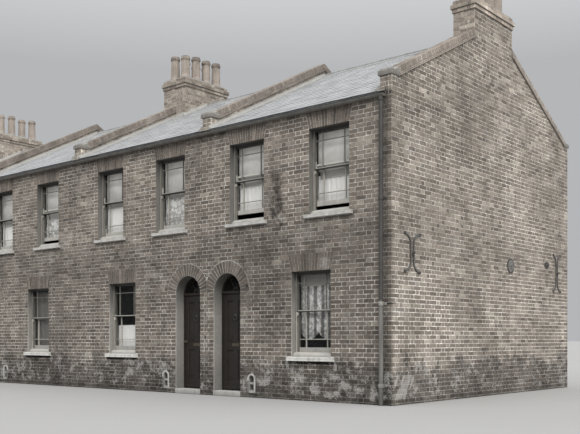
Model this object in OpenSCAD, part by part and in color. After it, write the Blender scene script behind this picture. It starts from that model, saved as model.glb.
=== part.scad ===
// Terraced house row: four two-storey brick houses in two mirrored pairs.
// Each pair shares two arched doorways side by side at its party wall.
// The right-hand end is a full gable wall, the left-hand end a plain party wall.
// Frame: +X along the street front (to the right when facing it), +Y to the back,
// +Z up. The origin is on the ground, below the middle of the whole row.

/* [Row] */
// Width of one house, from party wall centre to party wall centre
house_w = 4230; // [4100:10:4600]
// Depth of the row, from the front face to the back face
depth = 7240; // [6800:20:7800]
// Thickness of every brick wall (nine inches)
wall_t = 229; // [215:1:240]
// Height of one brick course with its joint
course = 76.2; // [75:0.1:78]

/* [Storeys] */
// Top of the ground floor above the ground
ground_floor_z = 90; // [60:5:120]
// Top of the first floor, where the upper storey starts
first_floor_z = 2743; // [2650:1:2800]
// Thickness of the first floor
first_floor_t = 170; // [120:5:200]
// Top of the slates at the eaves edge
eaves_z = 5207; // [5180:1:5240]

/* [Roof] */
// Pitch of both roof slopes in degrees
roof_pitch = 27.3; // [25:0.1:30]
// Upright thickness of a roof slope, slates to rafter foot
roof_vt = 105; // [90:1:120]
// Overhang of the slates in front of the wall
eaves_over = 55; // [40:1:70]
// Height of the parapet brickwork above the slates
parapet_rise = 130; // [100:5:160]
// Upright height of the projecting course on the parapet
creasing_h = 55; // [40:1:70]
// Upright height of the brick coping on the parapet
coping_h = 110; // [90:1:120]

/* [Windows] */
// Width of an upper window opening
up_win_w = 888; // [850:1:950]
// Height of the stone sill's top in the upper storey
up_sill_z = 3311; // [3250:1:3350]
// Height of an upper window's head
up_head_z = 4829; // [4780:1:4850]
// Width of a ground floor window opening
gr_win_w = 900; // [850:1:950]
// Height of the stone sill's top in the ground storey
gr_sill_z = 786; // [740:1:830]
// Height of a ground floor window's head
gr_head_z = 2314; // [2280:1:2340]
// Centre of the upper window over the door, from the pair's party line
up_inner_u = 1075; // [1060:1:1100]
// Centre of the other upper window, from the pair's party line
up_outer_u = 3037; // [3000:1:3050]
// Centre of the ground floor window, from the pair's party line
gr_win_u = 2632; // [2580:1:2680]
// Depth of the brick reveal in front of a window frame
reveal = 110; // [90:1:114]
// How far a lower sash stands open where it is raised
sash_lift = 75; // [0:5:120]
// Height to which the lower sash beside it stands open
sash_lift_inner = 105; // [0:5:120]
// Thickness of a ground floor stone sill
gr_sill_t = 80; // [70:1:100]
// Thickness of an upper stone sill
up_sill_t = 66; // [55:1:80]
// Reach of a stone sill past its opening on either side
sill_stop = 75; // [40:5:90]

/* [Doors] */
// Near side of a front doorway, from the pair's party line
door_in_u = 188; // [180:1:200]
// Width of a front doorway
door_w = 725; // [700:1:760]
// Height of the arch springing of a front doorway
spring_z = 2012; // [1980:1:2040]
// Running gap around a front door leaf
door_gap = 5; // [5:1:8]
// Thickness of a front door leaf
leaf_t = 44; // [40:1:46]

/* [Chimneys] */
// Length of the middle stack along the depth of the house
stack_mid_l = 1480; // [1460:10:1600]
// Length of a stack at the end of the row
stack_end_l = 1560; // [1500:10:1600]
// Width of the stack shared by the two middle houses
stack_mid_w = 800; // [780:5:850]
// Shift of the middle stack towards the second house, from the party line
stack_mid_x = 90; // [70:5:110]
// Width of the stack at each end of the row
stack_end_w = 457; // [440:1:480]
// Top of the middle stack's shaft
stack_mid_z = 7475; // [7430:5:7500]
// Top of an end stack's shaft
stack_end_z = 7385; // [7380:5:7450]

/* [Hidden] */

P = house_w;
H = P * 2;              // half of the row, to the end walls' centre lines
ht = wall_t / 2;
Yf = -depth / 2;        // front face
mid = depth / 2;        // depth of the ridge from either face
m = tan(roof_pitch);
door_out_u = door_in_u + door_w;
door_r = door_w / 2;
gsb = gr_sill_z - gr_sill_t;  // underside of a ground floor stone sill
usb = up_sill_z - up_sill_t;   // underside of an upper stone sill
mid_d = mid - stack_mid_l / 2;   // front face of the middle stack
end_d = mid - stack_end_l / 2;   // front face of an end stack
cap_h = course * 3;     // three oversailing courses

// Colours as the photo's tones suggest them
c_brick = [0.47, 0.42, 0.38];
c_brick2 = [0.50, 0.45, 0.40];
c_stone = [0.72, 0.70, 0.66];
c_slate = [0.58, 0.60, 0.62];
c_pot = [0.62, 0.50, 0.42];
c_iron = [0.20, 0.20, 0.21];
c_paint = [0.66, 0.65, 0.61];
c_door = [0.22, 0.20, 0.19];
c_glass = [0.55, 0.62, 0.66, 0.45];
c_wood = [0.55, 0.44, 0.33];
c_cloth = [0.85, 0.84, 0.80];

// Slate surface, slope underside and parapet top at a depth d behind the front face
function rt(d) = eaves_z + m * (d + eaves_over);
function rb(d) = rt(d) - roof_vt;
function zp(d) = rt(d) + parapet_rise;

pairs = [-P, P];        // party line of each pair of doors
sides = [-1, 1];

// Box between two corners; depths are measured back from the front face
module blk(x0, x1, d0, d1, z0, z1)
    translate([min(x0, x1), Yf + d0, z0]) cube([abs(x1 - x0), d1 - d0, z1 - z0]);
// Profile in depth and height, drawn out along X
module yz(x0, x1, pts)
    translate([min(x0, x1), Yf, 0]) rotate([90, 0, 90])
        linear_extrude(abs(x1 - x0)) polygon(pts);
// The same thing on the front and, mirrored, on the back
module front_and_back() { children(); mirror([0, 1, 0]) children(); }

// ---------- outer walls ----------
// An upright strip of wall whose top follows the rafters
module strip_to_roof(x0, x1, z0)
    yz(x0, x1, [[0, z0], [wall_t, z0], [wall_t, rb(wall_t)], [0, rb(0)]]);

module scraper_niche(x) {
    w = 130;
    translate([x, Yf - 1, 0]) rotate([-90, 0, 0]) linear_extrude(111)
        union() {
            translate([-w / 2, -350]) square([w, 230]);
            translate([0, -350]) circle(r = w / 2, $fn = 48);
        }
}

module front_wall_ground_piers() color(c_brick) {
    gi = gr_win_u - gr_win_w / 2;
    go = gr_win_u + gr_win_w / 2;
    for (xc = pairs) {
        blk(xc - door_in_u, xc + door_in_u, 0, wall_t, 0, spring_z);
        for (s = sides) difference() {
            blk(xc + s * door_out_u, xc + s * gi, 0, wall_t, 0, first_floor_z);
            scraper_niche(xc + s * 1205);
        }
    }
    blk(-(P - go), P - go, 0, wall_t, 0, first_floor_z);
    for (s = sides) blk(s * (P + go), s * (H - ht), 0, wall_t, 0, first_floor_z);
}

module front_wall_ground_panels() color(c_brick)
    for (xc = pairs, s = sides) {
        x0 = xc + s * (gr_win_u - gr_win_w / 2);
        x1 = xc + s * (gr_win_u + gr_win_w / 2);
        blk(x0, x1, 0, wall_t, 0, gsb);
        blk(x0, x1, 0, wall_t, gr_head_z, first_floor_z);
    }

// One block over each pair of doorways, with both round arches cut in its underside
module front_door_arches() color(c_brick2)
    for (xc = pairs) difference() {
        blk(xc - door_out_u, xc + door_out_u, 0, wall_t, spring_z, first_floor_z);
        for (s = sides)
            translate([xc + s * (door_in_u + door_r), Yf - 1, spring_z])
                rotate([-90, 0, 0]) cylinder(r = door_r, h = wall_t + 2, $fn = 96);
    }

module front_wall_upper_piers() color(c_brick) upper_piers(first_floor_z);
module upper_piers(z0) {
    w = up_win_w / 2;
    for (xc = pairs) {
        strip_to_roof(xc - (up_inner_u - w), xc + up_inner_u - w, z0);
        for (s = sides)
            strip_to_roof(xc + s * (up_inner_u + w), xc + s * (up_outer_u - w), z0);
    }
    strip_to_roof(-(P - up_outer_u - w), P - up_outer_u - w, z0);
    for (s = sides) strip_to_roof(s * (P + up_outer_u + w), s * (H - ht), z0);
}

module front_wall_upper_panels() color(c_brick)
    for (xc = pairs, s = sides, u = [up_inner_u, up_outer_u]) {
        x0 = xc + s * u - up_win_w / 2;
        blk(x0, x0 + up_win_w, 0, wall_t, first_floor_z, usb);
        strip_to_roof(x0, x0 + up_win_w, up_head_z);
    }

// At the back the lower openings stand straight below the upper ones
module back_wall_piers() color(c_brick) mirror([0, 1, 0]) upper_piers(0);
back_head_z = 2080;
module back_wall_panels() color(c_brick) mirror([0, 1, 0])
    for (xc = pairs, s = sides) {
        xi = xc + s * up_inner_u - up_win_w / 2;
        xo = xc + s * up_outer_u - up_win_w / 2;
        blk(xi, xi + up_win_w, 0, wall_t, back_head_z, usb);
        strip_to_roof(xi, xi + up_win_w, up_head_z);
        blk(xo, xo + up_win_w, 0, wall_t, 0, gsb);
        blk(xo, xo + up_win_w, 0, wall_t, gr_head_z, usb);
        strip_to_roof(xo, xo + up_win_w, up_head_z);
    }

// End walls run from face to face and stand up past the slates as a parapet,
// levelled where the stack sits on them
end_pts = [[0, 0], [depth, 0], [depth, zp(0)], [depth - end_d, zp(end_d)],
    [end_d, zp(end_d)], [0, zp(0)]];
module gable_wall() color(c_brick) yz(H - ht, H + ht, end_pts);
module left_end_wall() color(c_brick) yz(-H - ht, -H + ht, end_pts);

// Party walls between the front and back walls, up through the roof as parapets
module party_walls() color(c_brick) {
    t = wall_t;
    for (x = pairs)
        yz(x - ht, x + ht, [[t, 0], [depth - t, 0], [depth - t, zp(t)],
            [mid, zp(mid)], [t, zp(t)]]);
    yz(-ht, ht, [[t, 0], [depth - t, 0], [depth - t, zp(t)],
        [depth - mid_d, zp(mid_d)], [mid_d, zp(mid_d)], [t, zp(t)]]);
}

// ---------- parapets ----------
kn_z = 5467;            // top of a kneeler's brickwork
kcap_h = 110;
kcap_d = 252;           // depth at which the cap stops and the coping starts
over = 30;              // overhang of a kneeler cap
kn_d = (kn_z - zp(0)) / m;   // depth at which the parapet passes the kneeler's top
bed = 0.3;              // bedding gap on a sloping top
module kneelers() color(c_brick) front_and_back() {
    for (x = [-P, 0, P])
        yz(x - ht, x + ht, [[0, rb(0)], [wall_t, rb(wall_t)], [wall_t, zp(wall_t) - bed],
            [kn_d, kn_z], [0, kn_z]]);
    for (s = sides)
        yz(s * (H - ht), s * (H + ht), [[0, zp(0) + bed], [kn_d - 1, kn_z], [0, kn_z]]);
}

module kneeler_cap(x) {
    w = ht + over;
    intersection() {
        yz(x - w, x + w, [[-over, kn_z], [kn_d - 1, kn_z], [kcap_d, zp(kcap_d) + bed],
            [kcap_d, kn_z + kcap_h],
            [-over + 28, kn_z + kcap_h], [-over, kn_z + kcap_h - 34]]);
        translate([x, Yf - over - 1, 0]) rotate([90, 0, 0]) mirror([0, 0, 1])
            linear_extrude(over + kcap_d + 2)
                polygon([[-w, kn_z], [w, kn_z], [w, kn_z + kcap_h - 34],
                    [w - 28, kn_z + kcap_h], [-w + 28, kn_z + kcap_h],
                    [-w, kn_z + kcap_h - 34]]);
    }
}
module kneeler_caps() color(c_stone) front_and_back()
    for (x = [-H, -P, 0, P, H]) kneeler_cap(x);

// A sloping strip on the parapet, from depth a to depth b
module parapet_strip(x, over_x, a, b, h0, h1)
    yz(x - ht - over_x, x + ht + over_x, [[a, zp(a) + h0], [b, zp(b) + h0],
        [b, zp(b) + h1], [a, zp(a) + h1]]);
module parapet_run(over_x, h0, h1) front_and_back() {
    for (x = pairs) parapet_strip(x, over_x, kcap_d, mid - 3, h0, h1);
    for (x = [-H, H]) parapet_strip(x, over_x, kcap_d, end_d, h0, h1);
    parapet_strip(0, over_x, kcap_d, mid_d, h0, h1);
}
module parapet_creasing() color(c_brick2) parapet_run(30, bed, creasing_h);
module parapet_copings() color(c_stone) parapet_run(8, creasing_h, creasing_h + coping_h);

// ---------- chimneys ----------
// A shaft stands on its wall's levelled top and laps down over the slates beside it
module over_slates(x0, x1, d) yz(x0, x1, [[d - 1, rt(d) - 60], [d - 1, rt(d - 1) + bed],
    [mid, rt(mid) + bed], [depth - d + 1, rt(d - 1) + bed], [depth - d + 1, rt(d) - 60]]);
module shaft(x0, x1, xw, d, z) difference() {
    blk(x0, x1, d, depth - d, floor(rt(d)) - 1, z);
    blk(xw - ht, xw + ht, d - 1, depth - d + 1, 0, zp(d));
    if (x0 < xw - ht - 1) over_slates(x0 - 1, xw - ht, d);
    if (x1 > xw + ht + 1) over_slates(xw + ht, x1 + 1, d);
}
// [low x, high x, wall's x, depth of the front face, top of the shaft] of each stack
mid_x0 = stack_mid_x - stack_mid_w / 2;
mid_x1 = stack_mid_x + stack_mid_w / 2;
stacks = [[mid_x0, mid_x1, 0, mid_d, stack_mid_z],
    [H + ht - stack_end_w, H + ht, H, end_d, stack_end_z],
    [-H - ht, -H - ht + stack_end_w, -H, end_d, stack_end_z]];
module chimney_stacks() color(c_brick)
    for (s = stacks) shaft(s[0], s[1], s[2], s[3], s[4]);
module chimney_caps() color(c_brick2)
    for (s = stacks) {
        for (k = [0, 1, 2]) {
            o = [22, 45, 10][k];
            blk(s[0] - o, s[1] + o, s[3] - o, depth - s[3] + o,
                s[4] + k * course, s[4] + (k + 1) * course);
        }
        // mortar flaunching that holds the pots
        blk(s[0] + 30, s[1] - 30, s[3] + 30, depth - s[3] - 30,
            s[4] + cap_h, s[4] + cap_h + 40);
    }
// Round clay pot with a moulded rim, open down its middle, on a stack with its shaft's top at z
module pot(x, y, z, h) translate([x, y, z + cap_h + 40]) rotate_extrude($fn = 48)
    polygon([[94, 0], [126, 0], [126, 45], [116, 60], [104, h - 110], [120, h - 90],
        [120, h - 40], [106, h - 25], [106, h], [84, h], [84, h - 80], [94, 30]]);
module chimney_pots() color(c_pot) {
    // one pot for each room: two rows of four on the shared stack, one on an end stack
    for (i = [0:3], j = [0, 1])
        pot(stack_mid_x + (j * 2 - 1) * 190, (i - 1.5) * 360, stack_mid_z,
            [[610, 560], [600, 610], [570, 600], [610, 620]][i][j]);
    for (i = [0:3], s = sides)
        pot(s * (H + ht - stack_end_w / 2), (i - 1.5) * 375, stack_end_z, [600, 640, 590, 630][i]);
}

// ---------- roof ----------
slope_pts = [[-eaves_over, rt(-eaves_over) - 25], [0, rt(0) - 25], [0, rb(0)], [mid, rb(mid)],
    [mid, rt(mid)], [-eaves_over, rt(-eaves_over)]];
module slopes() for (i = [-2:1]) yz(i * P + ht, (i + 1) * P - ht, slope_pts);
module front_roof_slopes() color(c_slate) slopes();
module back_roof_slopes() color(c_slate) mirror([0, 1, 0]) slopes();

module ridge_run(x0, x1) {
    z = rt(mid);
    translate([min(x0, x1), 0, 0]) rotate([90, 0, 90]) linear_extrude(abs(x1 - x0)) union() {
        polygon([[-150, z - 150 * m], [0, z], [150, z - 150 * m],
            [150, z - 150 * m + 18], [0, z + 24], [-150, z - 150 * m + 18]]);
        translate([0, z + 30]) circle(r = 24, $fn = 32);
    }
}
module ridge_tiles() color(c_slate)
    for (s = sides) {
        ridge_run(s > 0 ? mid_x1 : mid_x0, s * (P - ht));
        ridge_run(s * (P + ht), s * (H + ht - stack_end_w));
    }

// ---------- floors ----------
module floors(z0, z1)
    for (i = [-2:1]) blk(i * P + ht, (i + 1) * P - ht, wall_t, depth - wall_t, z0, z1);
module ground_floors() color(c_wood) floors(0, ground_floor_z);
module first_floors() color(c_wood) floors(first_floor_z - first_floor_t, first_floor_z);

// ---------- windows ----------
// [centre x, width, sill top, head, lift of the lower sash] for every opening
function lifted(xc, s, u) =
    s > 0 && u == up_outer_u ? sash_lift : xc > 0 && s > 0 ? sash_lift_inner : 0;
front_windows = [for (xc = pairs, s = sides) each [
    [xc + s * gr_win_u, gr_win_w, gr_sill_z, gr_head_z, 0],
    [xc + s * up_inner_u, up_win_w, up_sill_z, up_head_z, lifted(xc, s, up_inner_u)],
    [xc + s * up_outer_u, up_win_w, up_sill_z, up_head_z, lifted(xc, s, up_outer_u)]]];
back_windows = [for (xc = pairs, s = sides) each [
    [xc + s * up_outer_u, up_win_w, gr_sill_z, gr_head_z, 0],
    [xc + s * up_inner_u, up_win_w, up_sill_z, up_head_z, 0],
    [xc + s * up_outer_u, up_win_w, up_sill_z, up_head_z, 0]]];
module each_window() {
    for (w = front_windows) { $w = w; children(); }
    mirror([0, 1, 0]) for (w = back_windows) { $w = w; children(); }
}

// Stone sill: built into the opening and projecting with a stop at each side
module window_sills() color(c_stone) each_window() {
    t = $w[2] < 2000 ? gr_sill_t : up_sill_t;
    x = $w[0]; hw = $w[1] / 2;
    blk(x - hw, x + hw, 0, wall_t, $w[2] - t, $w[2]);
    blk(x - hw - sill_stop, x + hw + sill_stop, -70, 0, $w[2] - t, $w[2]);
}

fr_w = 20;              // visible width of a box frame past the brick
fr_t = 104;             // depth of a box frame
timber_sill = 80;
sash_t = 38;
sash_w = 40;
rail_top = 36;
rail_meet = 34;
rail_low = 82;
module ring(x, hw, d0, d1, z0, z1, side, bottom, top) difference() {
    blk(x - hw, x + hw, d0, d1, z0, z1);
    blk(x - hw + side, x + hw - side, d0 - 1, d1 + 1, z0 + bottom, z1 - top);
}
module window_frames() color(c_paint) each_window()
    ring($w[0], $w[1] / 2, reveal, reveal + fr_t, $w[2], $w[3], fr_w, timber_sill, fr_w);

// inner size of a frame, and the height at which the two sashes meet
function fz0(w) = w[2] + timber_sill;
function fz1(w) = w[3] - fr_w;
function meet(w) = (fz0(w) + fz1(w)) / 2 + 26;
up_d = reveal + 12;
lo_d = up_d + sash_t + 4;
module upper_sashes() color(c_paint) each_window()
    ring($w[0], $w[1] / 2 - fr_w, up_d, up_d + sash_t, meet($w) - rail_meet / 2, fz1($w),
        sash_w, rail_meet, rail_top);
module lower_sashes() color(c_paint) each_window()
    ring($w[0], $w[1] / 2 - fr_w, lo_d, lo_d + sash_t, fz0($w) + $w[4],
        meet($w) + rail_meet / 2 + $w[4], sash_w, rail_low, rail_meet);
module window_glass() color(c_glass) each_window() {
    hw = $w[1] / 2 - fr_w - sash_w;
    blk($w[0] - hw, $w[0] + hw, up_d + 17, up_d + 21,
        meet($w) + rail_meet / 2, fz1($w) - rail_top);
    blk($w[0] - hw, $w[0] + hw, lo_d + 17, lo_d + 21,
        fz0($w) + rail_low + $w[4], meet($w) - rail_meet / 2 + $w[4]);
}
// Cloth hung behind each window
module window_curtains() color(c_cloth) each_window()
    blk($w[0] - $w[1] / 2, $w[0] + $w[1] / 2, wall_t - 4, wall_t + 36, $w[2] + 10, $w[3] - 15);

// ---------- doors ----------
// Front doors stand behind the brick reveal, in a frame fixed to the wall's inner face
jamb = 56;
jd0 = wall_t;
jd1 = wall_t + 64;
stop_t = 14;
leaf_d0 = wall_t + stop_t + 6;
leaf_z0 = 101;
leaf_z1 = spring_z - 33;
transom_z = leaf_z1 + 6;
head_top = spring_z + door_r + 60;

module front_doors() for (xc = pairs, s = sides) { $xc = xc; $s = s; children(); }
module door_jambs() color(c_paint) {
    front_doors() {
        a = $xc + $s * door_in_u;
        b = $xc + $s * door_out_u;
        blk(a - $s * jamb, a, jd0, jd1, ground_floor_z, transom_z);
        blk(b, b + $s * jamb, jd0, jd1, ground_floor_z, transom_z);
    }
    mirror([0, 1, 0]) for (xc = pairs, s = sides, e = sides) {
        x = xc + s * up_inner_u + e * up_win_w / 2;
        blk(x, x - e * 44, reveal, reveal + 90, 60, back_head_z - 44);
    }
}
module door_heads() color(c_paint) {
    front_doors() {
        a = $xc + $s * (door_in_u - jamb);
        b = $xc + $s * (door_out_u + jamb);
        c = $xc + $s * (door_in_u + door_r);
        r = door_r - 24;
        difference() {
            blk(a, b, jd0, jd1, transom_z, head_top);
            intersection() {
                translate([c, Yf + jd0 - 1, spring_z]) rotate([-90, 0, 0])
                    cylinder(r = r, h = jd1 - jd0 + 2, $fn = 96);
                blk(a, b, jd0 - 1, jd1 + 1, transom_z + 58, head_top);
            }
        }
    }
    mirror([0, 1, 0]) for (xc = pairs, s = sides) {
        x = xc + s * up_inner_u;
        blk(x - up_win_w / 2, x + up_win_w / 2, reveal, reveal + 90,
            back_head_z - 44, back_head_z);
    }
}
module door_stops() color(c_paint) front_doors() {
    a = $xc + $s * door_in_u;
    b = $xc + $s * door_out_u;
    blk(a, a + $s * stop_t, jd0, jd0 + stop_t, 95, leaf_z1 - 10);
    blk(b, b - $s * stop_t, jd0, jd0 + stop_t, 95, leaf_z1 - 10);
}
module fanlight_glass() color(c_glass) front_doors() {
    r = door_r - 24;
    intersection() {
        translate([$xc + $s * (door_in_u + door_r), Yf + jd0 + 34, spring_z])
            rotate([-90, 0, 0]) cylinder(r = r, h = 4, $fn = 96);
        blk($xc - 1200, $xc + 1200, jd0, jd1, transom_z + 58, head_top);
    }
}
module doorsteps() color(c_stone) {
    front_doors() blk($xc + $s * door_in_u, $xc + $s * door_out_u, -20, wall_t, 0, 95);
    mirror([0, 1, 0]) for (xc = pairs, s = sides) {
        x = xc + s * up_inner_u;
        blk(x - up_win_w / 2, x + up_win_w / 2, -20, wall_t, 0, 60);
    }
}
// A leaf hangs on the jamb next to the party wall and opens inwards. Its free edge has
// a little more room, because the corner swings wider than the leaf's own width.
module front_leaf(xc, s) color(c_door) union() {
    a = xc + s * (door_in_u + door_gap);
    blk(a, xc + s * (door_out_u - door_gap - 2), leaf_d0, leaf_d0 + leaf_t, leaf_z0, leaf_z1);
    // three hinges: a barrel on the joint's axis and the plate that holds it to the leaf
    for (z = [leaf_z0 + 150, leaf_z0 + 900, leaf_z1 - 250]) {
        hx = a - s * door_gap / 2;
        blk(hx, a + s * 28, leaf_d0 + leaf_t, leaf_d0 + leaf_t + 3, z, z + 100);
        translate([hx, Yf + leaf_d0 + leaf_t + 6, z]) cylinder(r = 5.5, h = 100, $fn = 32);
    }
}
module front_door_1() front_leaf(P, 1);
module front_door_2() front_leaf(P, -1);
module front_door_3() front_leaf(-P, 1);
module front_door_4() front_leaf(-P, -1);
module back_doors() color(c_door) mirror([0, 1, 0]) for (xc = pairs, s = sides) {
    x = xc + s * up_inner_u;
    blk(x - up_win_w / 2 + 44, x + up_win_w / 2 - 44, reveal + 30, reveal + 72,
        60, back_head_z - 44);
}

// ---------- rainwater goods ----------
gut_d = -68;            // centre line of a gutter, in front of the wall
gut_r = 52;
gut_z = 5152;
module gutter() {
    L = H + 10;
    translate([-L, Yf + gut_d, gut_z]) rotate([90, 0, 90]) linear_extrude(2 * L)
        difference() {
            circle(r = gut_r, $fn = 48);
            circle(r = gut_r - 5, $fn = 48);
            translate([-gut_r - 1, 0]) square([2 * gut_r + 2, gut_r + 1]);
        }
    for (s = sides) translate([s > 0 ? L - 5 : -L, Yf + gut_d, gut_z]) rotate([90, 0, 90])
        linear_extrude(5) difference() {
            circle(r = gut_r, $fn = 48);
            translate([-gut_r - 1, 0]) square([2 * gut_r + 2, gut_r + 1]);
        }
    for (i = [0:16]) {
        x = (i - 8) * (2 * L - 300) / 16;
        blk(x - 12, x + 12, gut_d + gut_r - 5, 0, gut_z - 36, gut_z - 2);
    }
}
module gutters() color(c_iron) front_and_back() gutter();

pipe_r = 38;
pipe_x = H - 55;
pipe_cuts = [0, 290, 1650, 3400, gut_z - gut_r];
collar_h = 70;
module downpipes() color(c_iron) front_and_back() for (s = sides)
    for (i = [0:3]) translate([s * pipe_x, Yf - 62, i == 0 ? 0 : pipe_cuts[i] + collar_h])
        cylinder(r = pipe_r, h = pipe_cuts[i + 1] - (i == 0 ? 0 : pipe_cuts[i] + collar_h)
            - (i == 3 ? 60 : 0), $fn = 40);
module downpipe_collars() color(c_iron) front_and_back() for (s = sides) {
    for (i = [1:3]) {
        translate([s * pipe_x, Yf - 62, pipe_cuts[i]])
            cylinder(r = pipe_r + 8, h = collar_h, $fn = 40);
        blk(s * pipe_x - 75, s * pipe_x + 75, -12, 0, pipe_cuts[i] + 12, pipe_cuts[i] + 58);
        blk(s * pipe_x - 18, s * pipe_x + 18, -30, 0, pipe_cuts[i] + 12, pipe_cuts[i] + 58);
    }
    difference() {
        translate([s * pipe_x, Yf - 62, gut_z - gut_r - 60])
            cylinder(r = pipe_r + 8, h = 74, $fn = 40);
        translate([s * pipe_x - 60, Yf + gut_d, gut_z]) rotate([0, 90, 0])
            cylinder(r = gut_r + 0.3, h = 120, $fn = 48);
    }
}

// ---------- iron wall ties on the gable ----------
tie_z = 2565;
// Half the gap between the two bars at a share t of the tie's half height, and the way across
function tie_at(t) = [44 + 190 * pow(t, 6), 325 * t];
function tie_across(t) = let (s = 190 * 6 / 325 * pow(t, 5)) [1, -s] / sqrt(1 + s * s);
// Two bars back to back that flare to round ends, drawn in by a plate and a nut on the tie rod
module curved_tie(d, w, h) translate([H + ht, Yf + d, tie_z]) rotate([90, 0, 90]) union() {
    for (e = sides) {
        scale([e * w, h, 1]) linear_extrude(22) polygon(concat(
            [for (i = [-20:20]) tie_at(i / 20) + 17 * tie_across(i / 20)],
            [for (i = [20:-1:-20]) tie_at(i / 20) - 17 * tie_across(i / 20)]));
        for (f = sides) translate([e * w * 234, f * h * 325, 0]) cylinder(r = 24, h = 28, $fn = 32);
    }
    translate([-56, -34, 0]) cube([112, 68, 26]);
    cylinder(r = 30, h = 42, $fn = 6);
    cylinder(r = 13, h = 62, $fn = 24);
}
module round_tie(d, z, r, w) translate([H + ht, Yf + d, z]) rotate([90, 0, 90]) union() {
    scale([w, 1, 1]) cylinder(r = r, h = 16, $fn = 48);
    cylinder(r = r * 0.45, h = 26, $fn = 48);
    cylinder(r = min(24, r * 0.3), h = 38, $fn = 6);
}
module wall_ties() color(c_iron) {
    curved_tie(617, 1, 1);
    curved_tie(6620, 0.8, 1.25);
    round_tie(4340, tie_z + 20, 150, 1);
    round_tie(6095, tie_z + 150, 70, 1.7);
}

// ---------- boot scrapers ----------
module arch_2d(w, h) union() {
    translate([-w / 2, 0]) square([w, h - w / 2]);
    translate([0, h - w / 2]) circle(r = w / 2, $fn = 48);
}
module scrapers() for (xc = pairs, s = sides)
    translate([xc + s * 1205, Yf, 0]) children();
module scraper_surrounds() color(c_stone) scrapers()
    translate([0, 0, 85]) rotate([90, 0, 0]) linear_extrude(14) difference() {
        arch_2d(200, 365);
        translate([0, 35]) arch_2d(130, 295);
    }
module boot_scrapers() color(c_iron) scrapers() {
    translate([-65, 18, 245]) cube([130, 14, 42]);
    translate([-65, 20, 120]) cube([130, 10, 22]);
}

front_wall_ground_piers();
front_wall_ground_panels();
front_door_arches();
front_wall_upper_piers();
front_wall_upper_panels();
back_wall_piers();
back_wall_panels();
gable_wall();
left_end_wall();
party_walls();
kneelers();
kneeler_caps();
parapet_creasing();
parapet_copings();
chimney_stacks();
chimney_caps();
chimney_pots();
front_roof_slopes();
back_roof_slopes();
ridge_tiles();
ground_floors();
first_floors();
window_sills();
window_frames();
upper_sashes();
lower_sashes();
window_glass();
window_curtains();
door_jambs();
door_heads();
door_stops();
fanlight_glass();
doorsteps();
front_door_1();
front_door_2();
front_door_3();
front_door_4();
back_doors();
gutters();
downpipes();
downpipe_collars();
wall_ties();
scraper_surrounds();
boot_scrapers();
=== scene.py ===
"""Terraced house row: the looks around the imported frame.

Row frame, metres: +X along the street front to the right, +Y to the back, +Z up,
origin on the ground under the middle of the row. d is a depth behind a wall's outer face.
"""
import math
import random

import bmesh
import bpy
import numpy as np
from mathutils import Matrix, Vector


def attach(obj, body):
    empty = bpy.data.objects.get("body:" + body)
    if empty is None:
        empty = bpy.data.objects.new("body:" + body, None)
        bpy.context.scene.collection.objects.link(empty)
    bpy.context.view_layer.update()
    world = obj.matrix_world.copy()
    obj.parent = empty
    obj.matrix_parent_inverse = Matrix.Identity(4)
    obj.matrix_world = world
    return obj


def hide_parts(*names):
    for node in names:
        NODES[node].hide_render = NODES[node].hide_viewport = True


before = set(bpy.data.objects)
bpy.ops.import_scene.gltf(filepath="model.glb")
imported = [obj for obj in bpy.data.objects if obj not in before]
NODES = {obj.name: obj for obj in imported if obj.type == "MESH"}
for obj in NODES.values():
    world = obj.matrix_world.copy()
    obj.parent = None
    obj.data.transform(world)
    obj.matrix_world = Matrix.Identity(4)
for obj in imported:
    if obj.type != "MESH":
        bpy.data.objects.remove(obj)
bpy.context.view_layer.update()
ROOT = "row"

# ---------------------------------------------------------------- sizes, as in the frame
P, H, DEPTH, T = 4.23, 8.46, 7.24, 0.229
HT, YF, MID = T / 2, -DEPTH / 2, DEPTH / 2
COURSE, BED0 = 0.0762, 0.028
M = math.tan(math.radians(27.3))
COS, SIN = math.cos(math.radians(27.3)), math.sin(math.radians(27.3))
EAVES, OVER, VT, RISE, CRE, COP = 5.207, 0.055, 0.105, 0.130, 0.055, 0.110
KN_Z, KCAP_D = 5.467, 0.252
DOOR_IN, DOOR_W, SPRING = 0.188, 0.725, 2.012
DOOR_R, DOOR_OUT = DOOR_W / 2, DOOR_IN + DOOR_W
RING = 0.232
REVEAL = 0.110
FR_W, FR_T, T_SILL, SASH_T, SASH_W, RAIL, LOW, TOP = 0.020, 0.104, 0.080, 0.038, 0.040, 0.034, 0.082, 0.036
UP_D = REVEAL + 0.012
LO_D = UP_D + SASH_T + 0.004
LIFT, LIFT_IN = 0.075, 0.105
GR_SILL, UP_SILL, STOP = 0.080, 0.066, 0.075
MID_D, END_D = MID - 0.74, MID - 0.78
MID_X0, MID_X1, END_W = -0.310, 0.490, 0.457
# each stack: low x, high x, depth of its front face, top of its shaft, outer side
STACKS = ((MID_X0, MID_X1, MID_D, 7.475, 0), (H + HT - END_W, H + HT, END_D, 7.385, 1),
          (-H - HT, -H - HT + END_W, END_D, 7.385, -1))


def rt(d):
    return EAVES + M * (d + OVER)


def zp(d):
    return rt(d) + RISE


PAIRS, SIDES = (-P, P), (-1, 1)
HOUSE = {(P, 1): "a", (P, -1): "b", (-P, 1): "c", (-P, -1): "d"}


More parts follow.
